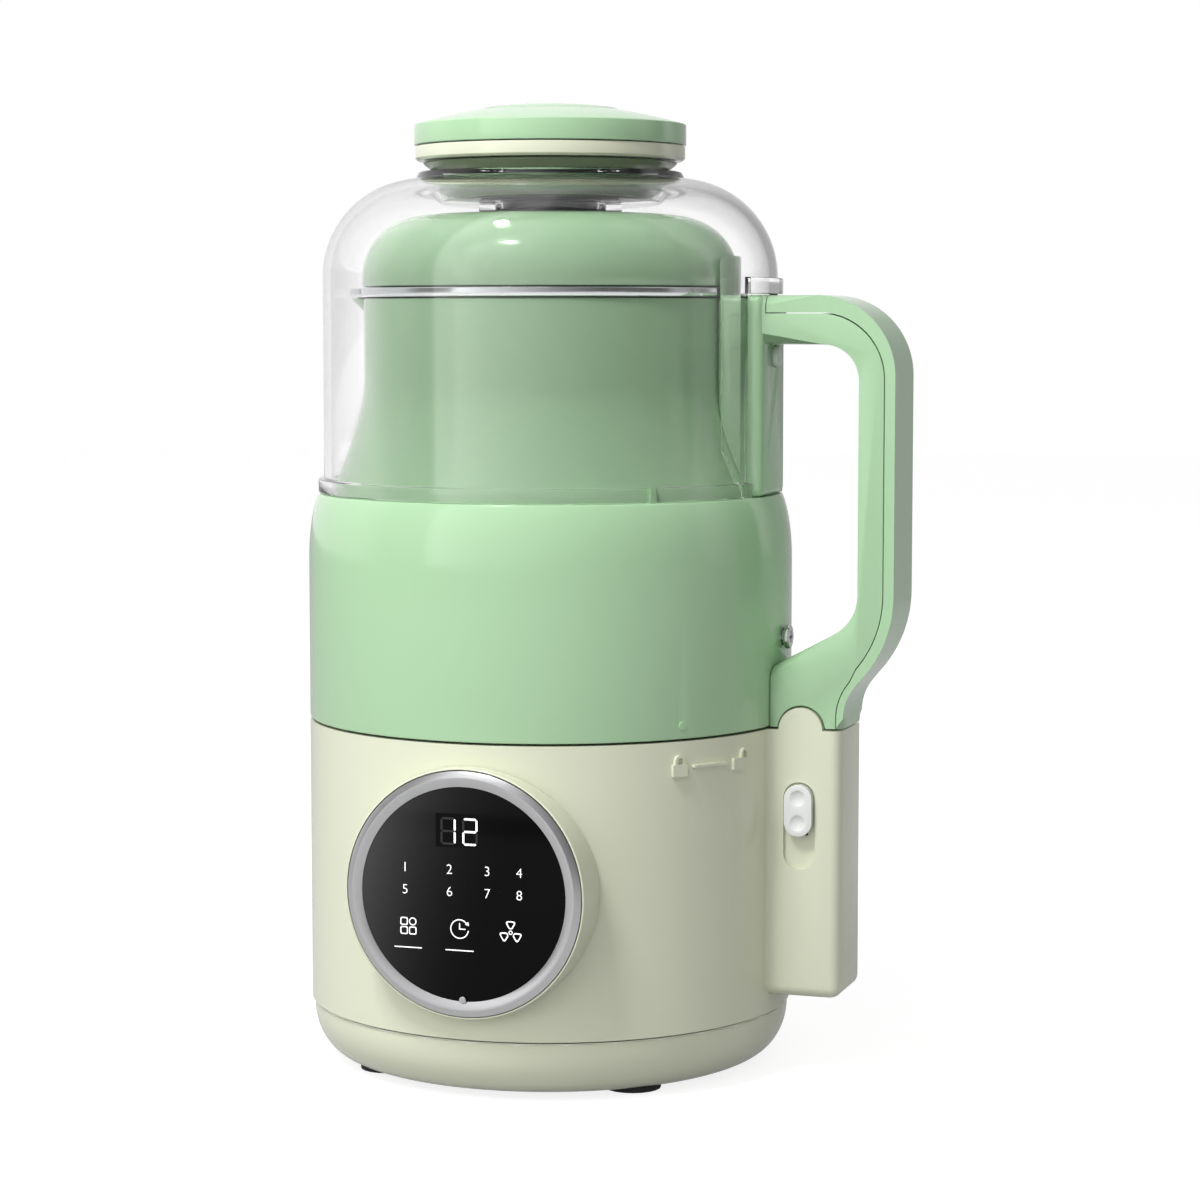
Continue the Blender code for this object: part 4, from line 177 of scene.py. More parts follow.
class Finishes(bpy.types.PropertyGroup):
    green: colour("Green", "Glossy plastic of jug, handle and knob", (0.415, 0.640, 0.392))
    cream: colour("Cream", "Glossy plastic of the base", (0.735, 0.762, 0.590))
    # The bowl's colour is green darkened into painted shade, for the shadow under the knob's cap and ring.
    shaded_bowl: colour("Bowl shade", "Green of the bowl under the knob, darkened as painted shade", (0.200, 0.235, 0.155))
    white: colour("White", "Glossy plastic of the slide button", (0.82, 0.83, 0.82))
    steel: colour("Steel", "Brushed stainless steel", (0.60, 0.61, 0.62))
    silver: colour("Silver", "Satin metal of the panel's ring", (0.58, 0.58, 0.59))
    black: colour("Black", "Moulded black plastic", (0.022, 0.022, 0.023))
    grey: colour("Grey", "Moulded grey plastic", (0.170, 0.178, 0.180))
    rubber: colour("Rubber", "Feet and seals", (0.020, 0.020, 0.021))
    copper: colour("Copper", "Enamelled copper wire", (0.60, 0.25, 0.11))
    board: colour("Board", "Circuit board", (0.02, 0.13, 0.05))
    light: colour("Light", "Lit signs on the panel", (0.90, 0.91, 0.92))


class StageSizes(bpy.types.PropertyGroup):
    distance: length("Distance", "Distance of the camera from the main axis", 0.9097)
    height: length("Height", "Height of the camera", 0.2150)
    azimuth: angle("Azimuth", "How far the camera stands towards the handle", 19.14)
    pitch: angle("Pitch", "How far the camera looks down", 5.174)
    yaw: angle("Yaw", "How far the camera looks to the right of the axis", 0.900)
    lens: bpy.props.FloatProperty(
        name="Lens", description="Focal length in millimetres", default=94.10, min=10.0)


SETTINGS = {
    "maker_base": BaseSizes,
    "maker_panel": PanelSizes,
    "maker_jug": JugSizes,
    "maker_handle": HandleSizes,
    "maker_cover": CoverSizes,
    "maker_finishes": Finishes,
    "maker_stage": StageSizes,
}


# Shapes


def arc(center, radii, start, end, steps=12):
    """Points of an elliptic arc, from start to end in degrees."""
    points = []
    for index in range(steps + 1):
        turn = math.radians(start + (end - start) * index / steps)
        points.append((center[0] + radii[0] * math.cos(turn), center[1] + radii[1] * math.sin(turn)))
    return points


def softened(points, radius, steps=3, closed=True):
    """The same outline with its sharper corners rounded."""
    result = []
    count = len(points)
    for index, point in enumerate(points):
        here = Vector(point)
        before = Vector(points[index - 1])
        after = Vector(points[(index + 1) % count])
        if not closed and index in (0, count - 1):
            result.append(tuple(here))
            continue
        back = before - here
        ahead = after - here
        if back.length < 1e-7 or ahead.length < 1e-7:
            continue
        bend = math.pi - back.angle(ahead)
        if bend < math.radians(25):
            result.append(tuple(here))
            continue
        reach = min(radius * math.tan(bend / 2), back.length * 0.45, ahead.length * 0.45)
        start = here + back.normalized() * reach
        end = here + ahead.normalized() * reach
        for step in range(steps + 1):
            share = step / steps
            on_curve = start.lerp(here, share).lerp(here.lerp(end, share), share)
            result.append(tuple(on_curve))
    return result


def mesh_piece(name, build):
    """A new mesh object, built by a function that fills a bmesh."""
    mesh = bpy.data.meshes.new(name)
    work = bmesh.new()
    build(work)
    bmesh.ops.recalc_face_normals(work, faces=work.faces)
    work.to_mesh(mesh)
    work.free()
    piece = bpy.data.objects.new(name, mesh)
    bpy.context.scene.collection.objects.link(piece)
    return piece


def turned(name, profile, sides=LARGE_SIDES, soft=0.0004):
    """A turned solid about the Z axis. A profile that touches the axis closes there."""
    on_axis = profile[0][0] < MERGE
    points = softened(profile, soft, closed=not on_axis) if soft else profile

    def build(work):
        rings = []
        for radius, height in points:
            if radius < MERGE:
                rings.append([work.verts.new((0, 0, height))])
                continue
            ring = []
            for side in range(sides):
                turn = FULL_TURN * side / sides
                ring.append(work.verts.new((radius * math.cos(turn), radius * math.sin(turn), height)))
            rings.append(ring)
        pairs = list(zip(rings, rings[1:]))
        if not on_axis:
            pairs.append((rings[-1], rings[0]))
        for upper, lower in pairs:
            for side in range(sides):
                following = (side + 1) % sides
                if len(upper) == 1 and len(lower) == 1:
                    break
                if len(upper) == 1:
                    work.faces.new((upper[0], lower[side], lower[following]))
                elif len(lower) == 1:
                    work.faces.new((upper[side], lower[0], upper[following]))
                else:
                    work.faces.new((upper[side], lower[side], lower[following], upper[following]))

    return mesh_piece(name, build)


def slab(name, outline, low, high, soft=0.0, steps=3):
    """A flat outline in the XZ plane with thickness along Y, its edges rounded."""

    def build(work):
        front = [work.verts.new((across, low, up)) for across, up in outline]
        back = [work.verts.new((across, high, up)) for across, up in outline]
        faces = [work.faces.new(front), work.faces.new(list(reversed(back)))]
        count = len(outline)
        for index in range(count):
            following = (index + 1) % count
            work.faces.new((front[index], front[following], back[following], back[index]))
        if soft:
            edges = [edge for face in faces for edge in face.edges]
            bmesh.ops.bevel(work, geom=edges, offset=soft, segments=steps, profile=0.5,
                            affect="EDGES", clamp_overlap=True)

    return mesh_piece(name, build)


def block(name, low, high, soft=0.0, steps=3):
    """A box between two corners, its edges rounded."""

    def build(work):
        made = bmesh.ops.create_cube(work, size=1.0)
        for vertex in made["verts"]:
            for axis in range(3):
                vertex.co[axis] = low[axis] if vertex.co[axis] < 0 else high[axis]
        if soft:
            bmesh.ops.bevel(work, geom=list(work.edges), offset=soft, segments=steps, profile=0.5,
                            affect="EDGES", clamp_overlap=True)

    return mesh_piece(name, build)


def round_bar(name, radius, start, end, sides=MEDIUM_SIDES, soft=0.0003):
    """A round bar between two points, with softened ends."""
    start = Vector(start)
    along = Vector(end) - start
    piece = turned(name, [(0, along.length), (radius, along.length), (radius, 0), (0, 0)], sides, soft)
    place = Matrix.Translation(start) @ along.to_track_quat("Z", "Y").to_matrix().to_4x4()
    piece.data.transform(place)
    return piece


def moved(piece, matrix):
    piece.data.transform(matrix)
    return piece


def onto_panel(piece):
    """Lay a piece made about the Z axis on its side, facing the user on the panel's axis."""
    panel = bpy.context.scene.maker_panel
    place = Matrix.Translation((panel.x, 0.0, panel.z)) @ Matrix.Rotation(math.radians(90), 4, "X")
    return moved(piece, place)


def settle(piece):
    """Make what a piece's modifiers show its own mesh."""
    graph = bpy.context.evaluated_depsgraph_get()
    mesh = bpy.data.meshes.new_from_object(piece.evaluated_get(graph))
    old = piece.data
    piece.modifiers.clear()
    piece.data = mesh
    bpy.data.meshes.remove(old)


def carve(piece, *tools, operation="DIFFERENCE"):
    """Cut tools out of a piece, or join them to it, and delete them."""
    for tool in tools:
        modifier = piece.modifiers.new("Carve", "BOOLEAN")
        modifier.operation = operation
        modifier.solver = "EXACT"
        modifier.object = tool
    settle(piece)
    for tool in tools:
        bpy.data.objects.remove(tool, do_unlink=True)
    return piece


def fuse(piece, *tools):
    return carve(piece, *tools, operation="UNION")


def round_edges(piece, width, limit=40, steps=2):
    """Round the sharp edges of a carved piece."""
    modifier = piece.modifiers.new("Round", "BEVEL")
    modifier.width = width
    modifier.segments = steps
    modifier.limit_method = "ANGLE"
    modifier.angle_limit = math.radians(limit)
    settle(piece)
    return piece


def smooth(piece, limit=SHARP_ANGLE):
    """Shade a piece smoothly, apart from edges that bend more than a limit."""
    work = bmesh.new()
    work.from_mesh(piece.data)
    bmesh.ops.remove_doubles(work, verts=work.verts, dist=MERGE)
    for face in work.faces:
        face.smooth = True
    for edge in work.edges:
        edge.smooth = len(edge.link_faces) == 2 and edge.calc_face_angle(0.0) < limit
    work.to_mesh(piece.data)
    work.free()
    return piece


def dress(piece, material, body, slot, *nodes, limit=SHARP_ANGLE):
    """Give a fine mesh its finish and its body, in place of the CAD nodes that it stands for."""
    smooth(piece, limit)
    piece.data.materials.clear()
    piece.data.materials.append(bpy.data.materials[material])
    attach(piece, body)
    if nodes:
        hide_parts(*nodes)
    return piece


# Effects that several finishes share


def new_group(name, inputs, outputs):
    """An empty node group with its inputs and outputs, and its two end nodes."""
    group = bpy.data.node_groups.new(name, "ShaderNodeTree")
    for label, default in inputs:
        socket = group.interface.new_socket(name=label, in_out="INPUT", socket_type="NodeSocketFloat")
        socket.default_value = default
    for label in outputs:
        group.interface.new_socket(name=label, in_out="OUTPUT", socket_type="NodeSocketFloat")
    entry = group.nodes.new("NodeGroupInput")
    exit_node = group.nodes.new("NodeGroupOutput")
    return group, entry, exit_node


def feed(tree, socket, value):
    """Give an input a number, or link it to an output."""
    if isinstance(value, (int, float)):
        socket.default_value = value
    else:
        tree.links.new(value, socket)


def math_node(tree, operation, *values):
    """A Math node, fed by outputs or numbers."""
    node = tree.nodes.new("ShaderNodeMath")
    node.operation = operation
    for socket, value in zip(node.inputs, values):
        feed(tree, socket, value)
    return node.outputs[0]


def directions(tree, place):
    """The X, Y and Z of a place or a direction."""
    apart = tree.nodes.new("ShaderNodeSeparateXYZ")
    tree.links.new(place, apart.inputs[0])
    return apart.outputs


def ranged(tree, value, low, high):
    """A value from 0 to 1, spread between two others."""
    node = tree.nodes.new("ShaderNodeMapRange")
    tree.links.new(value, node.inputs["Value"])
    feed(tree, node.inputs["To Min"], low)
    feed(tree, node.inputs["To Max"], high)
    return node.outputs["Result"]


def noise(tree, vector, scale, detail=2.0, roughness=0.5):
    node = tree.nodes.new("ShaderNodeTexNoise")
    tree.links.new(vector, node.inputs["Vector"])
    feed(tree, node.inputs["Scale"], scale)
    node.inputs["Detail"].default_value = detail
    node.inputs["Roughness"].default_value = roughness
    return node.outputs["Fac"]


def build_moulded_skin():
    """Injection-moulded plastic: slow waves from shrinkage, fine texture, faint wipe marks."""
    group, entry, exit_node = new_group(
        "Moulded skin",
        (("Wave scale", 18.0), ("Grain scale", 1600.0), ("Grain share", 0.25),
         ("Low gloss", 0.20), ("High gloss", 0.30)),
        ("Roughness", "Height"))
    place = group.nodes.new("ShaderNodeTexCoord").outputs["Object"]
    waves = noise(group, place, entry.outputs["Wave scale"], 1.0)
    grain = noise(group, place, entry.outputs["Grain scale"], 2.0)
    wipes = noise(group, place, 55.0, 5.0, 0.62)
    height = math_node(group, "MULTIPLY_ADD", grain, entry.outputs["Grain share"], waves)
    gloss = ranged(group, wipes, entry.outputs["Low gloss"], entry.outputs["High gloss"])
    group.links.new(gloss, exit_node.inputs["Roughness"])
    group.links.new(height, exit_node.inputs["Height"])


def build_brushed_lines():
    """Fine lines around the axis, as left by brushing or spinning sheet metal."""
    group, entry, exit_node = new_group(
        "Brushed lines",
        (("Line scale", 2600.0), ("Low gloss", 0.18), ("High gloss", 0.36)),
        ("Roughness", "Height"))
    place = group.nodes.new("ShaderNodeTexCoord").outputs["Object"]
    x, y, z = directions(group, place)
    squared = math_node(group, "MULTIPLY", x, x)
    radius = math_node(group, "SQRT", math_node(group, "MULTIPLY_ADD", y, y, squared))
    across = math_node(group, "ADD", radius, z)
    joined = group.nodes.new("ShaderNodeCombineXYZ")
    group.links.new(across, joined.inputs["X"])
    along = math_node(group, "MULTIPLY", x, 0.01)
    group.links.new(along, joined.inputs["Y"])
    lines = noise(group, joined.outputs[0], entry.outputs["Line scale"], 3.0, 0.7)
    gloss = ranged(group, lines, entry.outputs["Low gloss"], entry.outputs["High gloss"])
    group.links.new(gloss, exit_node.inputs["Roughness"])
    group.links.new(lines, exit_node.inputs["Height"])


def build_colour_drift():
    """A slow, faint change of tone over a surface, and a little dust in it."""
    group, entry, exit_node = new_group(
        "Colour drift",
        (("Scale", 9.0), ("Amount", 0.04)),
        ("Tone",))
    place = group.nodes.new("ShaderNodeTexCoord").outputs["Object"]
    drift = noise(group, place, entry.outputs["Scale"], 3.0)
    centred = math_node(group, "SUBTRACT", drift, 0.5)
    tone = math_node(group, "MULTIPLY_ADD", centred, entry.outputs["Amount"], 1.0)
    group.links.new(tone, exit_node.inputs["Tone"])


def placed(tree, group, **values):
    """A shared effect, placed in a material with its own values."""
    node = tree.nodes.new("ShaderNodeGroup")
    node.node_tree = group
    for label, value in values.items():
        node.inputs[label.replace("_", " ").capitalize()].default_value = value
    return node


# Finishes

SKIN_DEPTH = 0.0004
PLASTIC_IOR = 1.50
COAT_ROUGHNESS = 0.06
CLEAR_IOR = 1.47
# Facing value from which the clear plastic turns grey: painted shade at its slanting edges.
PAINTED_SLANT_SHADE_START = 0.42
CLEAR_SHADOW = 0.20
GLASS_IOR = 1.48
# The panel glass's painted reflection: a grey sheen that grows towards the upper left, set by these values.
PAINTED_SHEEN_START = 0.10
PAINTED_SHEEN_SLOPE = (-22.0, 4.5)
PAINTED_SHEEN_POWER = 3.0
PRINT_TONE = 0.0006


def blank_finish(name):
    material = bpy.data.materials.new(name)
    material.use_nodes = True
    tree = material.node_tree
    return material, tree, tree.nodes["Principled BSDF"]


def toned(tree, shader, tint, amount, scale=9.0):
    """Feed a colour that drifts a little into the base colour."""
    drift = placed(tree, bpy.data.node_groups["Colour drift"], scale=scale, amount=amount)
    mix = tree.nodes.new("ShaderNodeMix")
    mix.data_type = "RGBA"
    mix.blend_type = "MULTIPLY"
    mix.inputs["Factor"].default_value = 1.0
    colours = [socket for socket in mix.inputs if socket.type == "RGBA"]
    colours[0].default_value = (*tint, 1.0)
    tree.links.new(drift.outputs["Tone"], colours[1])
    result = [socket for socket in mix.outputs if socket.type == "RGBA"][0]
    tree.links.new(result, shader.inputs["Base Color"])


def bumped(tree, shader, height, strength, distance):
    bump = tree.nodes.new("ShaderNodeBump")
    bump.inputs["Strength"].default_value = strength
    bump.inputs["Distance"].default_value = distance
    tree.links.new(height, bump.inputs["Height"])
    tree.links.new(bump.outputs["Normal"], shader.inputs["Normal"])


def plastic(name, tint, gloss, grain, strength, coat=0.0, amount=0.04):
    """Moulded plastic, from a high gloss to a fine matte texture."""
    material, tree, shader = blank_finish(name)
    skin = placed(tree, bpy.data.node_groups["Moulded skin"],
                  low_gloss=gloss[0], high_gloss=gloss[1], grain_share=grain)
    tree.links.new(skin.outputs["Roughness"], shader.inputs["Roughness"])
    shader.inputs["IOR"].default_value = PLASTIC_IOR
    shader.inputs["Coat Weight"].default_value = coat
    shader.inputs["Coat Roughness"].default_value = COAT_ROUGHNESS
    toned(tree, shader, tint, amount)
    bumped(tree, shader, skin.outputs["Height"], strength, SKIN_DEPTH)
    return material


def metal(name, tint, gloss, lines=2600.0, strength=0.08, distance=0.00006):
    """Brushed or spun metal, with its lines around the axis."""
    material, tree, shader = blank_finish(name)
    brushed = placed(tree, bpy.data.node_groups["Brushed lines"],
                     line_scale=lines, low_gloss=gloss[0], high_gloss=gloss[1])
    tree.links.new(brushed.outputs["Roughness"], shader.inputs["Roughness"])
    shader.inputs["Metallic"].default_value = 1.0
    toned(tree, shader, tint, 0.06, 14.0)
    bumped(tree, shader, brushed.outputs["Height"], strength, distance)
    return material


def clear_plastic(name, tint, edge):
    """Clear moulded plastic with painted shade, greyer where it is seen at a slant; it lets light through
    below it.
    """
    material, tree, shader = blank_finish(name)
    skin = placed(tree, bpy.data.node_groups["Moulded skin"],
                  low_gloss=0.015, high_gloss=0.035, grain_share=0.0)
    tree.links.new(skin.outputs["Roughness"], shader.inputs["Roughness"])
    # Painted shade: the colour turns grey where the surface is seen at a slant.
    facing = tree.nodes.new("ShaderNodeLayerWeight").outputs["Facing"]
    slope = tree.nodes.new("ShaderNodeMapRange")
    slope.inputs["From Min"].default_value = PAINTED_SLANT_SHADE_START
    slope.inputs["To Min"].default_value = tint
    slope.inputs["To Max"].default_value = edge
    tree.links.new(facing, slope.inputs["Value"])
    tone = tree.nodes.new("ShaderNodeCombineColor")
    for socket in tone.inputs[:3]:
        tree.links.new(slope.outputs["Result"], socket)
    tree.links.new(tone.outputs[0], shader.inputs["Base Color"])
    shader.inputs["Transmission Weight"].default_value = 1.0
    shader.inputs["IOR"].default_value = CLEAR_IOR
    shadow = tree.nodes.new("ShaderNodeLightPath").outputs["Is Shadow Ray"]
    tree.links.new(ranged(tree, shadow, 1.0, CLEAR_SHADOW), shader.inputs["Alpha"])
    bumped(tree, shader, skin.outputs["Height"], 0.02, 0.0003)
    return material


def lit_sign(name, tint, strength):
    """A printed sign lit from behind."""
    material, tree, shader = blank_finish(name)
    skin = placed(tree, bpy.data.node_groups["Moulded skin"], low_gloss=0.3, high_gloss=0.4)
    tree.links.new(skin.outputs["Roughness"], shader.inputs["Roughness"])
    shader.inputs["Base Color"].default_value = (*tint, 1.0)
    shader.inputs["Emission Color"].default_value = (*tint, 1.0)
    shader.inputs["Emission Strength"].default_value = strength
    return material


def black_glass(name, painted_sheen):
    """Hard glass over black print, with a painted reflection that greys it a little towards the upper left.
    """
    material, tree, shader = blank_finish(name)
    skin = placed(tree, bpy.data.node_groups["Moulded skin"],
                  low_gloss=0.05, high_gloss=0.09, grain_share=0.0)
    tree.links.new(skin.outputs["Roughness"], shader.inputs["Roughness"])
    place = tree.nodes.new("ShaderNodeTexCoord").outputs["Object"]
    x, _, z = directions(tree, place)
    # Painted reflection: the glass turns greyer towards the upper left.
    side = math_node(tree, "MULTIPLY_ADD", x, PAINTED_SHEEN_SLOPE[0], PAINTED_SHEEN_START)
    side = math_node(tree, "MULTIPLY_ADD", z, PAINTED_SHEEN_SLOPE[1], side)
    side = math_node(tree, "POWER", math_node(tree, "MAXIMUM", side, 0.0), PAINTED_SHEEN_POWER)
    tone = math_node(tree, "MULTIPLY_ADD", side, painted_sheen, PRINT_TONE)
    joined = tree.nodes.new("ShaderNodeCombineColor")
    for socket in joined.inputs[:3]:
        tree.links.new(tone, socket)
    tree.links.new(joined.outputs[0], shader.inputs["Base Color"])
    shader.inputs["IOR"].default_value = GLASS_IOR
    shader.inputs["Specular IOR Level"].default_value = 0.12
    bumped(tree, shader, skin.outputs["Height"], 0.01, 0.0002)
    return material


class MAKER_OT_finishes(bpy.types.Operator):
    """Make every finish of the soy milk maker"""

    bl_idname = "maker.finishes"
    bl_label = "Finishes"

    def execute(self, context):
        tints = context.scene.maker_finishes
        build_moulded_skin()
        build_brushed_lines()
        build_colour_drift()
        plastic("Green gloss", tints.green, (0.11, 0.16), 0.02, 0.015, coat=0.25)
        plastic("Cream gloss", tints.cream, (0.13, 0.18), 0.05, 0.03, coat=0.2)
        # The bowl's finish: green darkened into painted shade for the shadow under the knob.
        plastic("Bowl gloss with painted shade", tints.shaded_bowl, (0.20, 0.28), 0.05, 0.03)
        plastic("White gloss", tints.white, (0.22, 0.30), 0.05, 0.03, coat=0.2)
        plastic("Black plastic", tints.black, (0.42, 0.55), 0.8, 0.20)
        plastic("Grey plastic", tints.grey, (0.38, 0.50), 0.6, 0.15)
        plastic("Rubber", tints.rubber, (0.62, 0.78), 1.0, 0.30)
        plastic("Circuit board", tints.board, (0.35, 0.50), 0.4, 0.15, amount=0.25)
        plastic("Pressed carbon", (0.018, 0.018, 0.019), (0.5, 0.7), 1.0, 0.4)
        metal("Brushed steel", tints.steel, (0.12, 0.20))
        metal("Satin silver", tints.silver, (0.26, 0.38), 900.0, 0.03)
        metal("Polished steel", (0.66, 0.66, 0.67), (0.08, 0.16), 3200.0, 0.03)
        metal("Cast aluminium", (0.52, 0.53, 0.54), (0.40, 0.55), 700.0, 0.12)
        metal("Core plates", (0.20, 0.20, 0.21), (0.40, 0.55), 9000.0, 0.4, 0.0002)
        metal("Copper wire", tints.copper, (0.25, 0.45), 7000.0, 0.6, 0.0003)
        # The clear plastic greys to 0.50 where seen at a slant, as painted shade.
        clear_plastic("Clear plastic", 0.99, 0.50)
        # The panel glass gets a painted reflection of strength 0.055; the black print under the signs has
        # none.
        black_glass("Black glass", 0.055)
        black_glass("Black print", 0.0)
        lit_sign("Lit sign", tints.light, 0.60)
        lit_sign("Dim sign", (0.012, 0.012, 0.013), 0.0)
        return {"FINISHED"}


# Base


class MAKER_OT_base_housing(bpy.types.Operator):
    """Make the cream housing with its column, button recess and raised lock signs"""

    bl_idname = "maker.base_housing"
    bl_label = "Base housing"

    RECESS_WIDTH = 0.0092
    RECESS_TOP = 0.0845
    RECESS_FOOT = 0.0596
    RECESS_DEPTH = 0.0012
    SLOT_HALF_WIDTH = 0.0024
    SLOT_LOW = 0.0693
    SLOT_HIGH = 0.0831
    INLET_HALF = (0.0141, 0.0103)
    INLET_Z = 0.0310
    PIN_RADIUS = 0.0014
    PIN_PLACES = (0.0754, 0.0790, 0.0826)

    def execute(self, context):
        sizes = context.scene.maker_base
        panel = context.scene.maker_panel
        half = sizes.column_half_width
        wall = sizes.wall
        over = 0.004
        reach = sizes.column_reach
        high = sizes.top + over
        housing = turned("Base_housing", [
            (0, high), (sizes.radius, high), (sizes.radius, sizes.foot), (0, sizes.foot)], soft=0.0)
        column = block("Column", (0.030, -half, sizes.column_foot), (reach, half, high + over),
                       sizes.column_edge, 5)
        fuse(housing, column)
        carve(housing, block("Above", (-0.1, -0.1, sizes.top), (0.1, 0.1, high + 3 * over)))
        self.fillet(housing, sizes)
        bore = turned("Bore", [
            (0, high), (sizes.radius - wall, high), (sizes.radius - wall, 0.010), (0, 0.010)], soft=0.0)
        inside = block("Column_inside", (0.040, wall - half, sizes.column_foot + wall),
                       (reach - wall, half - wall, sizes.top - wall), 0.0008)
        carve(housing, bore, inside)
        tab = round_bar("Tab", sizes.tab_radius, (sizes.tab_x, -half, sizes.top),
                        (sizes.tab_x, -half + sizes.tab_depth, sizes.top), LARGE_SIDES, 0.0)
        fuse(housing, tab)
        recess = slab("Recess", self.capsule(self.RECESS_WIDTH, self.RECESS_TOP, self.RECESS_FOOT),
                      -half - over, -half + self.RECESS_DEPTH)
        slot = block("Slot", (BUTTON_X - self.SLOT_HALF_WIDTH, -half - over, self.SLOT_LOW),
                     (BUTTON_X + self.SLOT_HALF_WIDTH, -half + wall + 0.001, self.SLOT_HIGH))
        panel_hole = onto_panel(round_bar("Hole", panel.bore, (0, 0, 0.010), (0, 0, 0.080),
                                          LARGE_SIDES, 0.0))
        width, height = self.INLET_HALF
        inlet_hole = block("Inlet_hole", (-width, 0.050, self.INLET_Z - height),
                           (width, 0.080, self.INLET_Z + height))
        pins = [round_bar("Pin_hole", self.PIN_RADIUS, (x, 0, sizes.top - 2 * wall),
                          (x, 0, sizes.top + over), SMALL_SIDES, 0.0) for x in self.PIN_PLACES]
        carve(housing, recess, slot, panel_hole, inlet_hole, *pins)
        self.raise_signs(housing, sizes)
        round_edges(housing, 0.0004)
        dress(housing, "Cream gloss", "base", "cream_gloss", "base_shell")
        return {"FINISHED"}

    def capsule(self, width, top, foot):
        """The outline of the button's recess, with round ends."""
        radius = width / 2
        points = arc((BUTTON_X, top - radius), (radius, radius), 0, 180, 20)
        return points + arc((BUTTON_X, foot + radius), (radius, radius), 180, 360, 20)

    def fillet(self, housing, sizes):
        """Fill the two corners between the round body and the column with a small radius."""
        radius = sizes.column_root
        half = sizes.column_half_width
        across = half + radius
        center_x = math.sqrt((sizes.radius + radius) ** 2 - across ** 2)
        for side in (-1, 1):
            corner_x = math.sqrt(sizes.radius ** 2 - half ** 2)
            touch = (center_x * sizes.radius / (sizes.radius + radius),
                     across * sizes.radius / (sizes.radius + radius))
            points = [(corner_x - 0.001, half - 0.001)]
            start = math.degrees(math.atan2(touch[1] - across, touch[0] - center_x))
            points += arc((center_x, across), (radius, radius), start, -90, 8)
            points += [(center_x, half - 0.001)]
            low = sizes.column_foot + sizes.column_edge

            def build(work, points=points, side=side, low=low):
                lower = [work.verts.new((x, side * y, low)) for x, y in points]
                upper = [work.verts.new((x, side * y, sizes.top)) for x, y in points]
                work.faces.new(lower)
                work.faces.new(list(reversed(upper)))
                count = len(points)
                for index in range(count):
                    nxt = (index + 1) % count
                    work.faces.new((lower[index], upper[index], upper[nxt], lower[nxt]))

            fuse(housing, mesh_piece("Root", build))

    SIGN_PROUD = 0.0010
    SIGN_ROOT = 0.0012
    SIGN_LOW = 0.0896
    SIGN_HIGH = 0.0930
    CLOSED_LOCK = -41.0
    OPEN_LOCK = -23.5
    OPEN_SHACKLE = -21.4
    BAR = -32.4
    LOCK_HALF_WIDTH = 0.0023
    BAR_HALF_WIDTH = 0.0061
    BAR_LOW = 0.0917
    BAR_HIGH = 0.0925
    SHACKLE_RISE = 0.0008
    SHACKLE_OUTER = (0.0017, 0.0018)
    SHACKLE_INNER = (0.0009, 0.0010)

    def raise_signs(self, housing, sizes):
        """The raised signs of the twist lock: a closed lock, a bar and an open lock."""
        body = self.sign_outline(self.LOCK_HALF_WIDTH, self.SIGN_LOW, self.SIGN_HIGH)
        bar = self.sign_outline(self.BAR_HALF_WIDTH, self.BAR_LOW, self.BAR_HIGH)
        shackle = self.shackle(self.SIGN_HIGH - FIT, self.SIGN_HIGH + self.SHACKLE_RISE)
        signs = [(self.CLOSED_LOCK, body), (self.OPEN_LOCK, body), (self.BAR, bar),
                 (self.CLOSED_LOCK, shackle), (self.OPEN_SHACKLE, shackle)]
        for degrees, outline in signs:
            plate = slab("Sign", outline, -sizes.radius - self.SIGN_PROUD, -sizes.radius + self.SIGN_ROOT)
            fuse(housing, moved(plate, Matrix.Rotation(math.radians(degrees + 90), 4, "Z")))

    def sign_outline(self, half, low, high):
        return softened([(-half, low), (half, low), (half, high), (-half, high)], 0.0003)

    def shackle(self, foot, spring):
        """The bow of a lock sign, with two straight legs."""
        outer_x, inner_x = self.SHACKLE_OUTER[0], self.SHACKLE_INNER[0]
        outer = arc((0, spring), self.SHACKLE_OUTER, 0, 180, 14)
        inner = arc((0, spring), self.SHACKLE_INNER, 180, 0, 14)
        legs = [(-outer_x, foot), (-inner_x, foot)]
        return [(outer_x, foot)] + outer + legs + inner + [(inner_x, foot)]


class MAKER_OT_bottom_pan(bpy.types.Operator):
    """Make the rounded pan under the housing, with its vents"""

    bl_idname = "maker.bottom_pan"
    bl_label = "Bottom pan"

    LOW = 0.0016
    TOP = 0.0171
    EDGE = 0.0692
    CORNER = (0.0108, 0.0142)
    WALL = 0.0022
    VENT_CIRCLE = 0.0240
    VENT_HALF = (0.0070, 0.0015)

    def execute(self, context):
        center = (self.EDGE - self.CORNER[0], self.LOW + self.CORNER[1])
        inner = (self.CORNER[0] - self.WALL, self.CORNER[1] - self.WALL)
        profile = [(0, self.LOW + self.WALL)] + arc(center, inner, -90, 0)
        profile += [(self.EDGE - self.WALL, self.TOP), (self.EDGE, self.TOP)]
        profile += arc(center, self.CORNER, 0, -90, 20) + [(0, self.LOW)]
        pan = turned("Bottom_pan", profile)
        vents = []
        for index in range(6):
            vent = block("Vent", (self.VENT_CIRCLE - self.VENT_HALF[0], -self.VENT_HALF[1], 0),
                         (self.VENT_CIRCLE + self.VENT_HALF[0], self.VENT_HALF[1], 0.010))
            vents.append(moved(vent, Matrix.Rotation(math.radians(30 + 60 * index), 4, "Z")))
        carve(pan, *vents)
        dress(pan, "Cream gloss", "base", "cream_gloss")
        return {"FINISHED"}


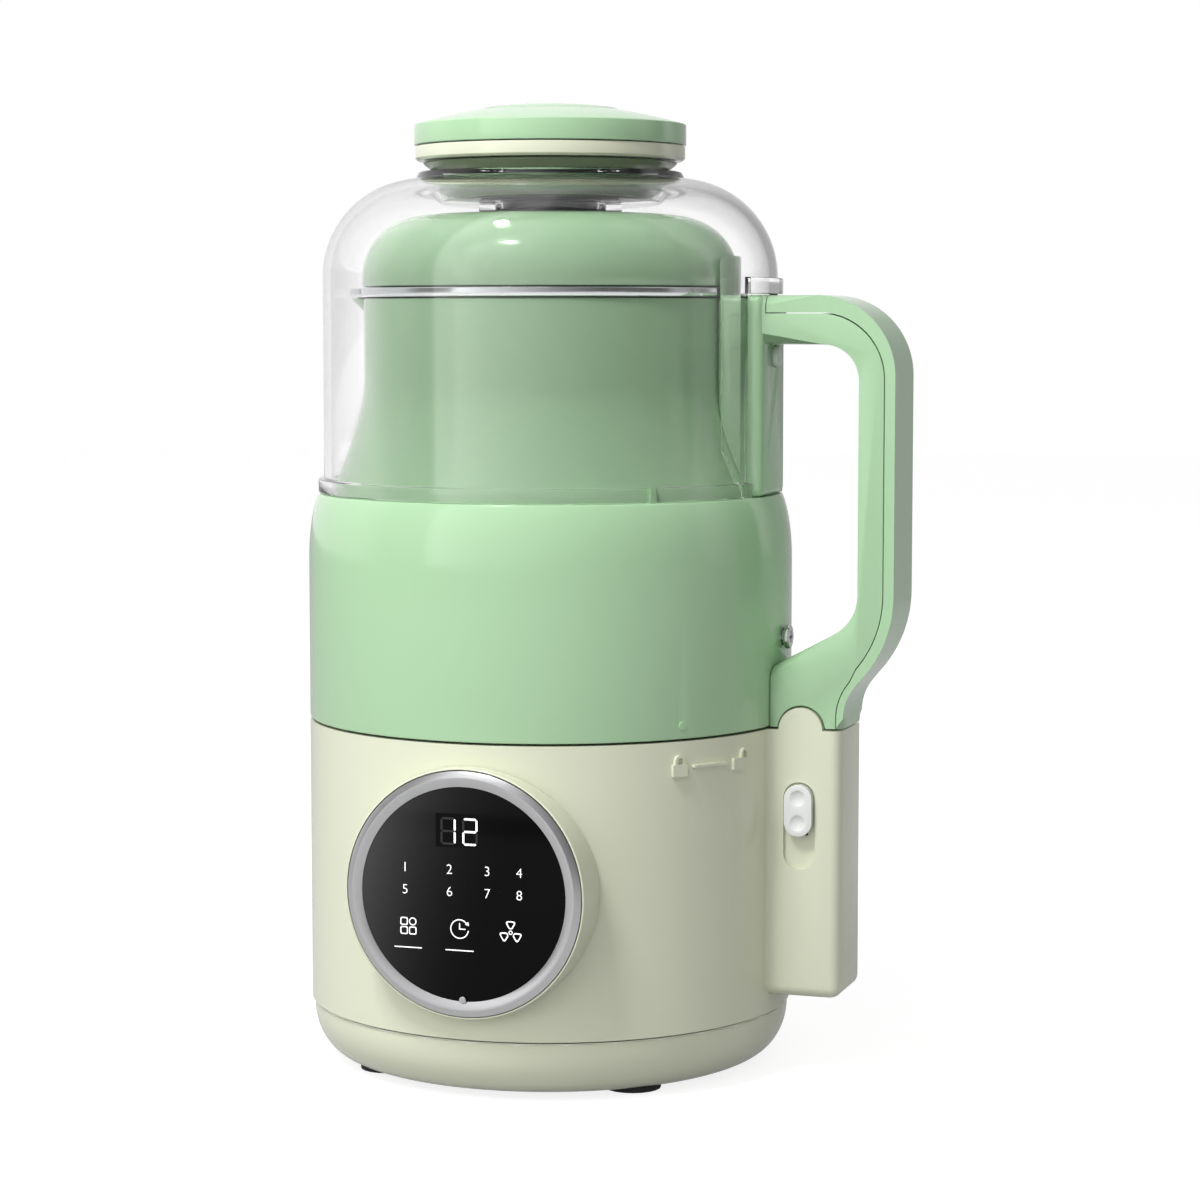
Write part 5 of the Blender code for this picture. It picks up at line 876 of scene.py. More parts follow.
class MAKER_OT_panel(bpy.types.Operator):
    """Make the round panel: housing, metal ring and black glass"""

    bl_idname = "maker.panel"
    bl_label = "Panel"

    EDGE = 0.0004
    BACK = 0.0575
    SEAT = 0.0020
    LIP = 0.0012
    RIDGE = (0.0314, 0.0320)
    CHAMFER = 0.0009
    PIP = 0.0010

    def execute(self, context):
        sizes = context.scene.maker_panel
        body = context.scene.maker_base.radius
        face = sizes.face
        seat = face - self.SEAT
        profile = [(sizes.ring + FIT, face)]
        profile += arc((sizes.housing - self.EDGE, face - self.EDGE), (self.EDGE, self.EDGE), 90, 0, 8)
        profile += [(sizes.housing, self.BACK), (sizes.bore, self.BACK), (sizes.bore, seat),
                    (sizes.ring + FIT, seat)]
        housing = onto_panel(turned("Panel_housing", profile, FINE_SIDES, 0.0002))
        carve(housing, turned("Body", [(0, 0.12), (body + FIT, 0.12), (body + FIT, 0), (0, 0)],
                              soft=0.0))
        dress(housing, "Cream gloss", "base", "cream_gloss", "panel_housing")

        top = face + sizes.ring_proud
        glass_top = top - sizes.glass_recess
        over_glass = glass_top + 0.00005
        ring = onto_panel(turned("Panel_ring", [
            (sizes.ring, top - self.CHAMFER), (sizes.ring, seat + FIT),
            (sizes.ring_inner, seat + FIT), (sizes.ring_inner, over_glass),
            (sizes.ring_inner - self.LIP, over_glass), (sizes.ring_inner - self.LIP, over_glass + 0.0001),
            (self.RIDGE[0], top), (self.RIDGE[1], top)], FINE_SIDES, 0.0001))
        pip = onto_panel(turned("Pip", [
            (0, top), (self.PIP, top), (self.PIP, over_glass), (0, over_glass)], SMALL_SIDES, 0.0002))
        fuse(ring, moved(pip, Matrix.Translation((0, 0, -sizes.ring_inner + self.LIP * 1.4))))
        dress(ring, "Satin silver", "base", "bright_metal", "trim_ring")

        radius = sizes.ring_inner - FIT
        glass = onto_panel(turned("Panel_glass", [
            (0, glass_top), (radius, glass_top), (radius, seat + FIT), (0, seat + FIT)],
            FINE_SIDES))
        dress(glass, "Black glass", "base", "black_glass", "touch_glass")
        return {"FINISHED"}


class MAKER_OT_panel_signs(bpy.types.Operator):
    """Print the lit digits, the plain numbers and the generic signs on the glass"""

    bl_idname = "maker.panel_signs"
    bl_label = "Panel signs"

    DIGIT_HEIGHT = 0.0069
    DIGIT_WIDTH = 0.0038
    DIGIT_PLACES = (("1", -0.0042, 0.0172), ("2", 0.0021, 0.0172))
    WINDOW = (-0.0078, 0.0128, 0.0046, 0.0220)
    STROKE = 0.00058
    SEGMENTS = {"1": "bc", "2": "abged"}
    COLUMNS = (-0.0168, -0.0039, 0.0070, 0.0162)
    ROWS = (0.0066, 0.0005)
    NUMBER_SIZE = 0.0038
    MENU = (-0.0159, -0.0095)
    CLOCK = (-0.0010, -0.0095)
    FAN = (0.0137, -0.0096)
    RULES = ((-0.0200, -0.0120), (-0.0051, 0.0030))
    RULE_Z = -0.0154
    RULE_HALF = 0.00015

    def execute(self, context):
        sizes = context.scene.maker_panel
        self.front = sizes.face + sizes.ring_proud - sizes.glass_recess
        self.lift = sizes.sign_lift
        lit = []
        dim = []
        for digit, x, z in self.DIGIT_PLACES:
            for segment in "abcdefg":
                shown = segment in self.SEGMENTS[digit]
                (lit if shown else dim).append(self.segment(segment, (x, z)))
        for index in range(8):
            x, z = self.COLUMNS[index % 4], self.ROWS[index // 4]
            lit.append(self.letter(str(index + 1), x, z, self.NUMBER_SIZE))
        lit += self.menu_sign(*self.MENU)
        lit += self.clock_sign(*self.CLOCK)
        lit += self.fan_sign(*self.FAN)
        for start, end in self.RULES:
            low, high = self.RULE_Z - self.RULE_HALF, self.RULE_Z + self.RULE_HALF
            lit.append([(start, low), (end, low), (end, high), (start, high)])
        low_x, low_z, high_x, high_z = self.WINDOW
        window = [[(low_x, low_z), (high_x, low_z), (high_x, high_z), (low_x, high_z)]]
        self.print_signs("Display_window", window, "Black print", self.lift / 2)
        self.print_signs("Lit_signs", lit, "Lit sign", self.lift)
        self.print_signs("Dim_segments", dim, "Dim sign", self.lift)
        return {"FINISHED"}

    def segment(self, name, place):
        """One bar of a seven-bar digit."""
        w, h, s = self.DIGIT_WIDTH / 2, self.DIGIT_HEIGHT / 2, self.STROKE / 2
        lines = {
            "a": ((-w, h), (w, h)), "b": ((w, h), (w, 0)), "c": ((w, 0), (w, -h)),
            "d": ((-w, -h), (w, -h)), "e": ((-w, 0), (-w, -h)), "f": ((-w, h), (-w, 0)),
            "g": ((-w, 0), (w, 0))}
        start, end = (Vector(point) for point in lines[name])
        along = (end - start).normalized()
        side = Vector((-along.y, along.x)) * s
        trim = 1.3 * s
        start, end = start + along * trim, end - along * trim
        corners = [start + side, start - along * s, start - side, end - side, end + along * s, end + side]
        return [(place[0] + p.x, place[1] + p.y) for p in corners]

    def letter(self, text, x, z, size):
        """One number as a flat mesh, with its place on the glass."""
        curve = bpy.data.curves.new("Number", "FONT")
        curve.body = text
        curve.size = size
        curve.offset = -size * 0.012
        curve.align_x = "CENTER"
        curve.align_y = "CENTER"
        item = bpy.data.objects.new("Number", curve)
        bpy.context.scene.collection.objects.link(item)
        bpy.context.view_layer.update()
        graph = bpy.context.evaluated_depsgraph_get()
        mesh = bpy.data.meshes.new_from_object(item.evaluated_get(graph))
        bpy.data.objects.remove(item, do_unlink=True)
        bpy.data.curves.remove(curve)
        return mesh, x, z

    def square(self, x, z, size, stroke):
        """An outlined square with softened corners, as one strip."""
        half = size / 2
        outer = softened([(x - half, z - half), (x + half, z - half),
                          (x + half, z + half), (x - half, z + half)], size * 0.25, 4)
        inner_half = half - stroke
        inner = softened([(x - inner_half, z - inner_half), (x + inner_half, z - inner_half),
                          (x + inner_half, z + inner_half), (x - inner_half, z + inner_half)],
                         size * 0.18, 4)
        return self.strip(outer, inner)

    def circle(self, x, z, radius, stroke, steps=36):
        """An outlined circle, as one strip."""
        outer = arc((x, z), (radius, radius), 0, 360, steps)[:-1]
        inner = arc((x, z), (radius - stroke, radius - stroke), 0, 360, steps)[:-1]
        return self.strip(outer, inner)

    def strip(self, outer, inner):
        """The four-sided pieces between two outlines with as many corners."""
        shapes = []
        for index in range(len(outer)):
            following = (index + 1) % len(outer)
            shapes.append([outer[index], outer[following], inner[following], inner[index]])
        return shapes

    def menu_sign(self, x, z):
        """Three squares and a circle."""
        size, pitch, stroke = 0.0022, 0.00126, 0.0003
        shapes = []
        for side, lift in ((-1, -1), (-1, 1), (1, -1)):
            shapes += self.square(x + side * pitch, z + lift * pitch, size, stroke)
        return shapes + self.circle(x + pitch, z + pitch, size / 2, stroke)

    def clock_sign(self, x, z):
        """An open circle that ends in an arrow head, with two hands."""
        radius, stroke = 0.0027, 0.00030
        inner_radius = radius - stroke
        outer = arc((x, z), (radius, radius), 38, 352, 44)
        inner = arc((x, z), (inner_radius, inner_radius), 38, 352, 44)
        shapes = [[outer[step], outer[step + 1], inner[step + 1], inner[step]] for step in range(44)]
        shapes.append([(x + 0.0016, z + 0.0013), (x + 0.0027, z + 0.0010), (x + 0.0025, z + 0.0021)])
        half = stroke / 2
        shapes.append([(x - half, z - half), (x + half, z - half), (x + half, z + 0.0016),
                       (x - half, z + 0.0016)])
        shapes.append([(x + half, z - half), (x + 0.0017, z - half), (x + 0.0017, z + half),
                       (x + half, z + half)])
        return shapes

    def fan_sign(self, x, z):
        """Three outlined blades around a small circle."""
        shapes = self.circle(x, z, 0.0006, 0.00026, 16)
        wide = softened([(-0.0005, 0.0009), (0.0005, 0.0009), (0.0017, 0.0031), (-0.0017, 0.0031)],
                        0.0009, 5)
        slim = softened([(-0.00022, 0.0012), (0.00022, 0.0012), (0.00120, 0.0028), (-0.00120, 0.0028)],
                        0.0007, 5)
        for index in range(3):
            turn = Matrix.Rotation(math.radians(120 * index), 2)
            outer = [Vector((x, z)) + turn @ Vector(point) for point in wide]
            inner = [Vector((x, z)) + turn @ Vector(point) for point in slim]
            shapes += self.strip([tuple(p) for p in outer], [tuple(p) for p in inner])
        return shapes

    def print_signs(self, name, shapes, material, lift):
        """All signs of one kind as one thin raised print."""
        front = self.front

        def build(work):
            for shape in shapes:
                if isinstance(shape, tuple):
                    mesh, x, z = shape
                    before = set(work.verts)
                    work.from_mesh(mesh)
                    fresh = [vertex for vertex in work.verts if vertex not in before]
                    bmesh.ops.translate(work, verts=fresh, vec=(x, z, front))
                    bpy.data.meshes.remove(mesh)
                    continue
                corners = [work.verts.new((x, z, front)) for x, z in shape]
                work.faces.new(corners)
            bmesh.ops.recalc_face_normals(work, faces=work.faces)
            faces = list(work.faces)
            raised = bmesh.ops.extrude_face_region(work, geom=faces)
            tops = [item for item in raised["geom"] if isinstance(item, bmesh.types.BMVert)]
            bmesh.ops.translate(work, verts=tops, vec=(0, 0, lift))

        signs = onto_panel(mesh_piece(name, build))
        dress(signs, material, "base", "white_gloss" if material == "Lit sign" else "black_glass")


class MAKER_OT_slide_button(bpy.types.Operator):
    """Make the white slide button with its two finger dimples"""

    bl_idname = "maker.slide_button"
    bl_label = "Slide button"

    Z = 0.0766
    WIDTH = 0.0080
    LENGTH = 0.0146
    FRONT = -0.0143
    SEAT = -0.0116
    DIMPLE = 0.0023
    DIMPLE_PITCH = 0.0035
    DIMPLE_DEPTH = 0.0007
    STEM_RISE = 0.0041
    STEM_HALF_LENGTH = 0.0018

    def execute(self, context):
        radius = self.WIDTH / 2
        high = self.Z + self.LENGTH / 2 - radius
        low = self.Z - self.LENGTH / 2 + radius
        outline = arc((BUTTON_X, high), (radius, radius), 0, 180, 24)
        outline += arc((BUTTON_X, low), (radius, radius), 180, 360, 24)
        button = slab("Slide_button", outline, self.FRONT, self.SEAT, 0.0009, 4)
        low_stem = self.Z + self.STEM_RISE - self.STEM_HALF_LENGTH
        high_stem = self.Z + self.STEM_RISE + self.STEM_HALF_LENGTH
        stem = block("Stem", (BUTTON_X - 0.0018, self.SEAT - 0.0005, low_stem),
                     (BUTTON_X + 0.0018, -0.0083, high_stem))
        clip = block("Clip", (BUTTON_X - 0.0036, -0.0096, low_stem),
                     (BUTTON_X + 0.0036, -0.0083, high_stem))
        fuse(button, stem)
        fuse(button, clip)
        ball_radius = (self.DIMPLE ** 2 + self.DIMPLE_DEPTH ** 2) / (2 * self.DIMPLE_DEPTH)
        for side in (-1, 1):
            profile = arc((0, 0), (ball_radius, ball_radius), 90, -90, 40)
            ball = turned("Dimple", [(max(r, 0.0), z) for r, z in profile], 48, 0.0)
            depth = self.FRONT - ball_radius + self.DIMPLE_DEPTH
            place = (BUTTON_X, depth, self.Z + side * self.DIMPLE_PITCH)
            carve(button, moved(ball, Matrix.Translation(place)))
        round_edges(button, 0.00025, 20)
        dress(button, "White gloss", "button", "white_gloss", "slide_button", limit=math.radians(40))
        return {"FINISHED"}


# Jug


SHOULDER_CENTER = (0.0640, 0.1450)
SHOULDER = (0.0060, 0.0225)
SPOUT_HEIGHT = 0.0090
SPOUT_FOOT = 0.0040
SCREW_Z = 0.1242


def neck_curve(sizes, offset=0.0, top=None):
    """The jacket's outer line above the ledge, from the top down, moved inwards."""
    foot, high, power = 0.1660, 0.1955, 1.5
    points = [(sizes.neck - offset, top or sizes.neck_top)]
    for step in range(15):
        share = step / 14
        radius = sizes.neck + (sizes.flare - sizes.neck) * share ** power
        points.append((radius - offset, high + (foot - high) * share))
    return points


def spout_cone(sizes, radius, foot_radius, foot, top):
    """A cone at the pouring side whose flank is the underside of the spout."""
    cone = turned("Spout", [(0, top), (radius, top), (foot_radius, foot), (0, foot)], LARGE_SIDES, 0.0)
    return moved(cone, Matrix.Translation((sizes.spout - sizes.spout_reach, 0, 0)))


def outside_neck(piece, radius):
    """Trim a spout to what lies outside the middle of the neck's wall."""
    return carve(piece, round_bar("Bore", radius, (0, 0, 0.15), (0, 0, 0.25), LARGE_SIDES, 0.0))


class MAKER_OT_jug_jacket(bpy.types.Operator):
    """Make the green jacket: upright body, shoulder, ledge, flared neck and spout"""

    bl_idname = "maker.jug_jacket"
    bl_label = "Jug jacket"

    SPOUT_WALL = 0.0012
    DOT_ANGLE = -40.0
    DOT_Z = 0.1034
    KEY_ANGLE = -45.5

    def execute(self, context):
        sizes = context.scene.maker_jug
        radius = context.scene.maker_base.radius
        start = math.degrees(math.asin((sizes.ledge - SHOULDER_CENTER[1]) / SHOULDER[1]))
        profile = neck_curve(sizes) + [(sizes.flare, sizes.ledge)]
        profile += arc(SHOULDER_CENTER, SHOULDER, start, 0, 16)
        profile += [(radius, sizes.foot), (radius - sizes.wall, sizes.foot)]
        profile += arc(SHOULDER_CENTER, (SHOULDER[0] - sizes.wall, 0.0170), 0, 45, 8)
        profile += list(reversed(neck_curve(sizes, sizes.wall)))
        jacket = turned("Jug_jacket", profile, FINEST_SIDES, 0.0006)
        foot = sizes.neck_top - SPOUT_HEIGHT
        outside = spout_cone(sizes, sizes.spout, SPOUT_FOOT, foot, sizes.neck_top)
        fuse(jacket, outside_neck(outside, sizes.neck - sizes.wall / 2))
        carve(jacket, spout_cone(sizes, sizes.spout - self.SPOUT_WALL + 0.002,
                                 SPOUT_FOOT - self.SPOUT_WALL, foot, sizes.neck_top + 0.002))
        self.add_marks(jacket, sizes, radius)
        carve(jacket, round_bar("Screw_hole", 0.0025, (0.05, 0, SCREW_Z),
                                (0.08, 0, SCREW_Z), SMALL_SIDES, 0.0))
        dress(jacket, "Green gloss", "jug", "green_gloss", "jug_jacket")
        return {"FINISHED"}

    def add_marks(self, jacket, sizes, radius):
        """The small round mark for the lock signs, and the key beside the handle."""
        turn = Matrix.Rotation(math.radians(self.DOT_ANGLE), 4, "Z")
        dot = round_bar("Dot", 0.0013, (radius - 0.001, 0, self.DOT_Z),
                        (radius + 0.0003, 0, self.DOT_Z), SMALL_SIDES, 0.0001)
        key = block("Key", (sizes.flare - 0.0013, -0.0011, sizes.ledge - 0.0015),
                    (sizes.flare + 0.0015, 0.0011, sizes.ledge + 0.0040), 0.0003)
        fuse(jacket, moved(dot, turn),
             moved(key, Matrix.Rotation(math.radians(self.KEY_ANGLE), 4, "Z")))


class MAKER_OT_steel_cup(bpy.types.Operator):
    """Make the brushed steel cup with its rolled rim and pouring lip"""

    bl_idname = "maker.steel_cup"
    bl_label = "Steel cup"

    CLEARANCE = 0.0004
    CORNER = 0.0100
    SHOULDER_Z = 0.1610
    HOLE = 0.0113
    SPOUT_GAP = 0.0015

    def execute(self, context):
        sizes = context.scene.maker_jug
        wall = sizes.cup_wall
        inset = sizes.wall + self.CLEARANCE
        flange = sizes.neck_top + FIT
        under = sizes.cup_floor - wall
        center = (sizes.cup - self.CORNER, under + self.CORNER)
        inner = self.CORNER - wall
        profile = [(sizes.rim, sizes.rim_top), (sizes.rim, flange)]
        profile += neck_curve(sizes, inset, flange) + [(sizes.cup, self.SHOULDER_Z)]
        profile += arc(center, (self.CORNER, self.CORNER), 0, -90)
        profile += [(self.HOLE, under), (self.HOLE, sizes.cup_floor)]
        profile += arc(center, (inner, inner), -90, 0)
        profile += [(sizes.cup - wall, self.SHOULDER_Z)]
        profile += list(reversed(neck_curve(sizes, inset + wall, sizes.rim_top)))
        cup = turned("Steel_cup", profile, FINEST_SIDES, 0.0007)
        middle = sizes.neck - inset - wall / 2
        gap = self.SPOUT_GAP
        foot = sizes.neck_top - SPOUT_HEIGHT + FIT
        lip_radius = sizes.spout + sizes.rim - sizes.neck
        place = (sizes.spout - sizes.spout_reach, 0)
        outside = spout_cone(sizes, sizes.spout - gap, SPOUT_FOOT - gap, foot, flange + FIT)
        lip = round_bar("Lip", lip_radius, (*place, flange), (*place, sizes.rim_top), LARGE_SIDES, 0.0006)
        fuse(cup, outside_neck(outside, middle))
        fuse(cup, outside_neck(lip, middle))
        carve(cup, spout_cone(sizes, sizes.spout - gap + 0.002, SPOUT_FOOT - gap - wall, foot,
                              sizes.rim_top + 0.002))
        dress(cup, "Brushed steel", "jug", "steel", "steel_cup")
        return {"FINISHED"}


# Handle

ELBOW = 0.0350
BEND = 0.0140
SLANT = 40.0
GRIP_FOOT = 0.1375
FOOT_REACH = 0.0903


def handle_outline(sizes):
    """The whole handle, seen from the side: its arm, its grip, its bent foot and the web."""
    root, foot, outer, inner = 0.0560, 0.0930, 0.0225, 0.0100
    web, web_slope = 0.0125, 28.0
    bend_center = foot_bend_center(sizes)
    inner_x = sizes.reach - sizes.thickness
    arm_bottom = sizes.arm_top - sizes.arm_height
    points = [(root, sizes.arm_top)]
    points += arc((sizes.reach - outer, sizes.arm_top - outer), (outer, outer), 90, 0, 22)
    points += arc((sizes.reach - ELBOW, GRIP_FOOT), (ELBOW, ELBOW), 0, -SLANT, 14)
    points += arc(bend_center, (BEND, BEND), 180 - SLANT, 180, 8)
    points += [(bend_center[0] - BEND, foot), (root, foot)]
    curve = arc((inner_x - web, GRIP_FOOT), (web, web), web_slope - 90, 0, 14)
    start_x, start_z = curve[0]
    points += [(root, start_z - (start_x - root) * math.tan(math.radians(web_slope)))]
    points += curve
    points += arc((inner_x - inner, arm_bottom - inner), (inner, inner), 0, 90, 12)
    return points + [(root, arm_bottom)]


def foot_bend_center(sizes):
    """Where the foot's bend turns, so that the slanted part touches both arcs."""
    slant = math.radians(SLANT)
    start_x = sizes.reach - ELBOW + ELBOW * math.cos(slant)
    start_z = GRIP_FOOT - ELBOW * math.sin(slant)
    center_x = FOOT_REACH + BEND
    end_x = center_x - BEND * math.cos(slant)
    end_z = start_z - (start_x - end_x) / math.tan(slant)
    return center_x, end_z - BEND * math.sin(slant)


def grip_zone(sizes, offset):
    """What lies outside the seam of the grip cover."""
    start, foot, side, radius, over = 0.0676 - offset, 0.0910, 0.0029, 0.0185, 0.002
    top = sizes.arm_top - 0.0048 - offset
    seam_x = sizes.reach - side - offset
    center = foot_bend_center(sizes)
    elbow = ELBOW - side - offset
    bend = BEND + 0.0019 + offset
    points = [(start, top)]
    points += arc((seam_x - radius, top - radius), (radius, radius), 90, 0, 20)
    points += arc((sizes.reach - ELBOW, GRIP_FOOT), (elbow, elbow), 0, -SLANT, 14)
    points += arc(center, (bend, bend), 180 - SLANT, 180, 8)
    points += [(center[0] - bend, foot), (sizes.reach + over, foot),
               (sizes.reach + over, sizes.arm_top + over), (start, sizes.arm_top + over)]
    return slab("Grip_zone", list(reversed(points)), -sizes.half_width - over, sizes.half_width + over)


def jug_room(context):
    """The jug's outside with a gap around it, to cut with."""
    sizes = context.scene.maker_jug
    radius = context.scene.maker_base.radius
    over, rim, below = 0.234, 0.0550, 0.0950
    ledge = sizes.ledge + FIT
    start = math.degrees(math.asin((ledge - SHOULDER_CENTER[1]) / (SHOULDER[1] + FIT)))
    profile = [(0, over), (rim, over), (rim, sizes.neck_top)]
    profile += neck_curve(sizes, -FIT) + [(sizes.flare + FIT, ledge)]
    profile += arc(SHOULDER_CENTER, (SHOULDER[0] + FIT, SHOULDER[1] + FIT), start, 0, 16)
    profile += [(radius + FIT, below), (0, below)]
    return turned("Jug_room", profile, FINEST_SIDES, 0.0)


def below_handle(sizes):
    return block("Below", (0, -0.03, 0.08), (sizes.reach + 0.01, 0.03, 0.0998))


class MAKER_OT_handle_frame(bpy.types.Operator):
    """Make the handle's body: arm, pillar beside the jug, grip and foot on the column"""

    bl_idname = "maker.handle_frame"
    bl_label = "Handle body"

    PILLAR = (0.0668, 0.0125)
    BLOCK_REACH = 0.0600
    BLOCK_TOP = 0.2320
    PLUG = (0.0015, 0.2037)

    def execute(self, context):
        sizes = context.scene.maker_handle
        base = context.scene.maker_base
        jug = context.scene.maker_jug
        reach, half = self.PILLAR
        frame = slab("Handle_frame", list(reversed(handle_outline(sizes))), -sizes.half_width,
                     sizes.half_width, sizes.edge, 6)
        pillar = block("Pillar", (0.0530, -half, jug.ledge), (reach, half, sizes.arm_top), 0.0022, 4)
        stand = block("Stand", (0.0531, 0.0001 - half, sizes.arm_top - sizes.arm_height),
                      (self.BLOCK_REACH, half - 0.0001, self.BLOCK_TOP), 0.0022, 4)
        fuse(frame, pillar)
        fuse(frame, stand)
        carve(frame, jug_room(context))
        carve(frame, grip_zone(sizes, sizes.seam))
        carve(frame, below_handle(sizes))
        tab = round_bar("Tab_room", base.tab_radius + 0.0006,
                        (base.tab_x, -base.column_half_width - 0.002, base.top),
                        (base.tab_x, base.tab_depth + 0.0006 - base.column_half_width, base.top),
                        LARGE_SIDES, 0.0)
        contact = block("Contact_room", (0.0732, -0.0040, 0.098), (0.0848, 0.0040, 0.1017))
        plug = round_bar("Plug_room", 0.0033, (reach - 0.0025, *self.PLUG),
                         (reach + 0.004, *self.PLUG), SMALL_SIDES, 0.0)
        carve(frame, tab, contact, plug)
        round_edges(frame, 0.0004, 50)
        dress(frame, "Green gloss", "jug", "green_gloss", "handle_frame")
        return {"FINISHED"}


class MAKER_OT_handle_cover(bpy.types.Operator):
    """Make the cover that closes the handle's outer side, with a fine seam around it"""

    bl_idname = "maker.handle_cover"
    bl_label = "Grip cover"

    def execute(self, context):
        sizes = context.scene.maker_handle
        cover = slab("Handle_cover", list(reversed(handle_outline(sizes))), -sizes.half_width,
                     sizes.half_width, sizes.edge, 6)
        carve(cover, grip_zone(sizes, 0.0), operation="INTERSECT")
        carve(cover, below_handle(sizes))
        round_edges(cover, 0.0003, 50)
        dress(cover, "Green gloss", "jug", "green_gloss", "handle_cover")
        return {"FINISHED"}


class MAKER_OT_handle_fixings(bpy.types.Operator):
    """Make the white plug on the pillar and the screw above the web"""

    bl_idname = "maker.handle_fixings"
    bl_label = "Handle fixings"

    def execute(self, context):
        y, z = MAKER_OT_handle_frame.PLUG
        reach = MAKER_OT_handle_frame.PILLAR[0]
        plug = round_bar("Screw_plug", 0.0030, (reach - 0.0022, y, z), (reach + 0.0014, y, z),
                         MEDIUM_SIDES, 0.0006)
        dress(plug, "White gloss", "jug", "white_gloss", "screw_plug")
        head = context.scene.maker_base.radius + 0.0006
        screw = round_bar("Handle_screw", 0.0034, (head, 0, SCREW_Z), (head + 0.0016, 0, SCREW_Z),
                          MEDIUM_SIDES, 0.0005)
        cross = [block("Cross", (head + 0.0006, -across, SCREW_Z - up), (head + 0.003, across, SCREW_Z + up))
                 for across, up in ((0.0017, 0.0004), (0.0004, 0.0017))]
        carve(screw, *cross)
        fuse(screw, round_bar("Thread", 0.0022, (head - 0.0080, 0, SCREW_Z), (head + 0.0004, 0, SCREW_Z),
                              SMALL_SIDES, 0.0002))
        dress(screw, "Polished steel", "jug", "steel", "handle_screw")
        return {"FINISHED"}


# Cover, knob and lid


class MAKER_OT_sound_cover(bpy.types.Operator):
    """Make the clear cover: ring on the ledge, dome, stepped collar, well and valve tube"""

    bl_idname = "maker.sound_cover"
    bl_label = "Clear cover"

    RING_FOOT = 0.1646
    RING_TOP = 0.1685
    COLLAR = 0.0388
    COLLAR_WIDTH = 0.0040
    COLLAR_TOP = 0.2560
    WELL = 0.0300
    WELL_FLOOR = 0.2500
    TUBE = (0.0144, 0.0164)
    TUBE_FOOT = 0.2460
    LUG_REACH = 0.0206
    LUG_HALF_WIDTH = 0.0040
    LUG_HEIGHT = 0.0023
    LUG_ANGLE = 20
    SLOT_HALF = 0.0160
    SLOT_TOP = 0.2212
    SLOT_LIP = 0.0046
    RIB_START = 0.0556

    def execute(self, context):
        sizes = context.scene.maker_cover
        corner = sizes.corner
        center = (sizes.radius - corner, sizes.top - corner)
        inner = sizes.radius - sizes.wall
        tube_inner, tube_outer = self.TUBE
        floor_under = self.WELL_FLOOR - 0.0014
        profile = [(tube_inner, self.WELL_FLOOR), (self.WELL, self.WELL_FLOOR),
                   (self.COLLAR - self.COLLAR_WIDTH, self.COLLAR_TOP),
                   (self.COLLAR - 0.0010, self.COLLAR_TOP), (self.COLLAR, sizes.top)]
        start = math.degrees(math.acos((self.COLLAR + 0.0010 - center[0]) / corner))
        profile += arc(center, (corner, corner), start, 0, 30)
        profile += [(sizes.radius, self.RING_TOP), (sizes.ring, self.RING_TOP),
                    (sizes.ring, self.RING_FOOT), (inner, self.RING_FOOT)]
        profile += arc(center, (corner - sizes.wall, corner - sizes.wall), 0, 85, 28)
        profile += [(self.COLLAR - self.COLLAR_WIDTH, sizes.top - sizes.wall),
                    (self.WELL + 0.0018, floor_under), (tube_outer, floor_under),
                    (tube_outer, self.TUBE_FOOT), (tube_inner, self.TUBE_FOOT)]
        cover = turned("Sound_cover", profile, FINEST_SIDES, 0.0005)
        carve(cover, block("Slot", (self.RIB_START, -self.SLOT_HALF, 0.16),
                           (sizes.ring + 0.002, self.SLOT_HALF, self.SLOT_TOP)))
        self.frame_slot(context, cover, sizes, inner)
        for side in (0, 180):
            lug = block("Lug", (tube_inner + 0.0010, -self.LUG_HALF_WIDTH, self.TUBE_FOOT),
                        (self.LUG_REACH, self.LUG_HALF_WIDTH, self.TUBE_FOOT + self.LUG_HEIGHT), 0.0004)
            fuse(cover, moved(lug, Matrix.Rotation(math.radians(side + self.LUG_ANGLE), 4, "Z")))
        dress(cover, "Clear plastic", "cover", "clear", "sound_cover")
        return {"FINISHED"}

    def frame_slot(self, context, cover, sizes, inner):
        """Ribs at both sides of the slot for the handle's pillar, and the lip above it."""
        middle = inner + sizes.wall / 2
        for side in (-1, 1):
            near, far = sorted((side * (self.SLOT_HALF - 0.0002), side * (self.SLOT_HALF + 0.0015)))
            rib = block("Rib", (self.RIB_START, near, self.RING_FOOT), (middle, far, self.SLOT_TOP))
            carve(rib, round_bar("Inside", middle, (0, 0, 0.16), (0, 0, 0.23), FINEST_SIDES, 0.0),
                  operation="INTERSECT")
            carve(rib, jug_room(context))
            fuse(cover, rib)
        lip_inner = sizes.radius - sizes.wall / 2
        lip = turned("Lip", [(sizes.ring, self.SLOT_TOP + self.SLOT_LIP), (sizes.ring, self.SLOT_TOP),
                             (lip_inner, self.SLOT_TOP), (lip_inner, self.SLOT_TOP + self.SLOT_LIP)],
                     FINEST_SIDES, 0.0004)
        carve(lip, block("Span", (0, -self.SLOT_HALF - 0.0015, 0.21),
                         (0.08, self.SLOT_HALF + 0.0015, 0.23)), operation="INTERSECT")
        fuse(cover, lip)


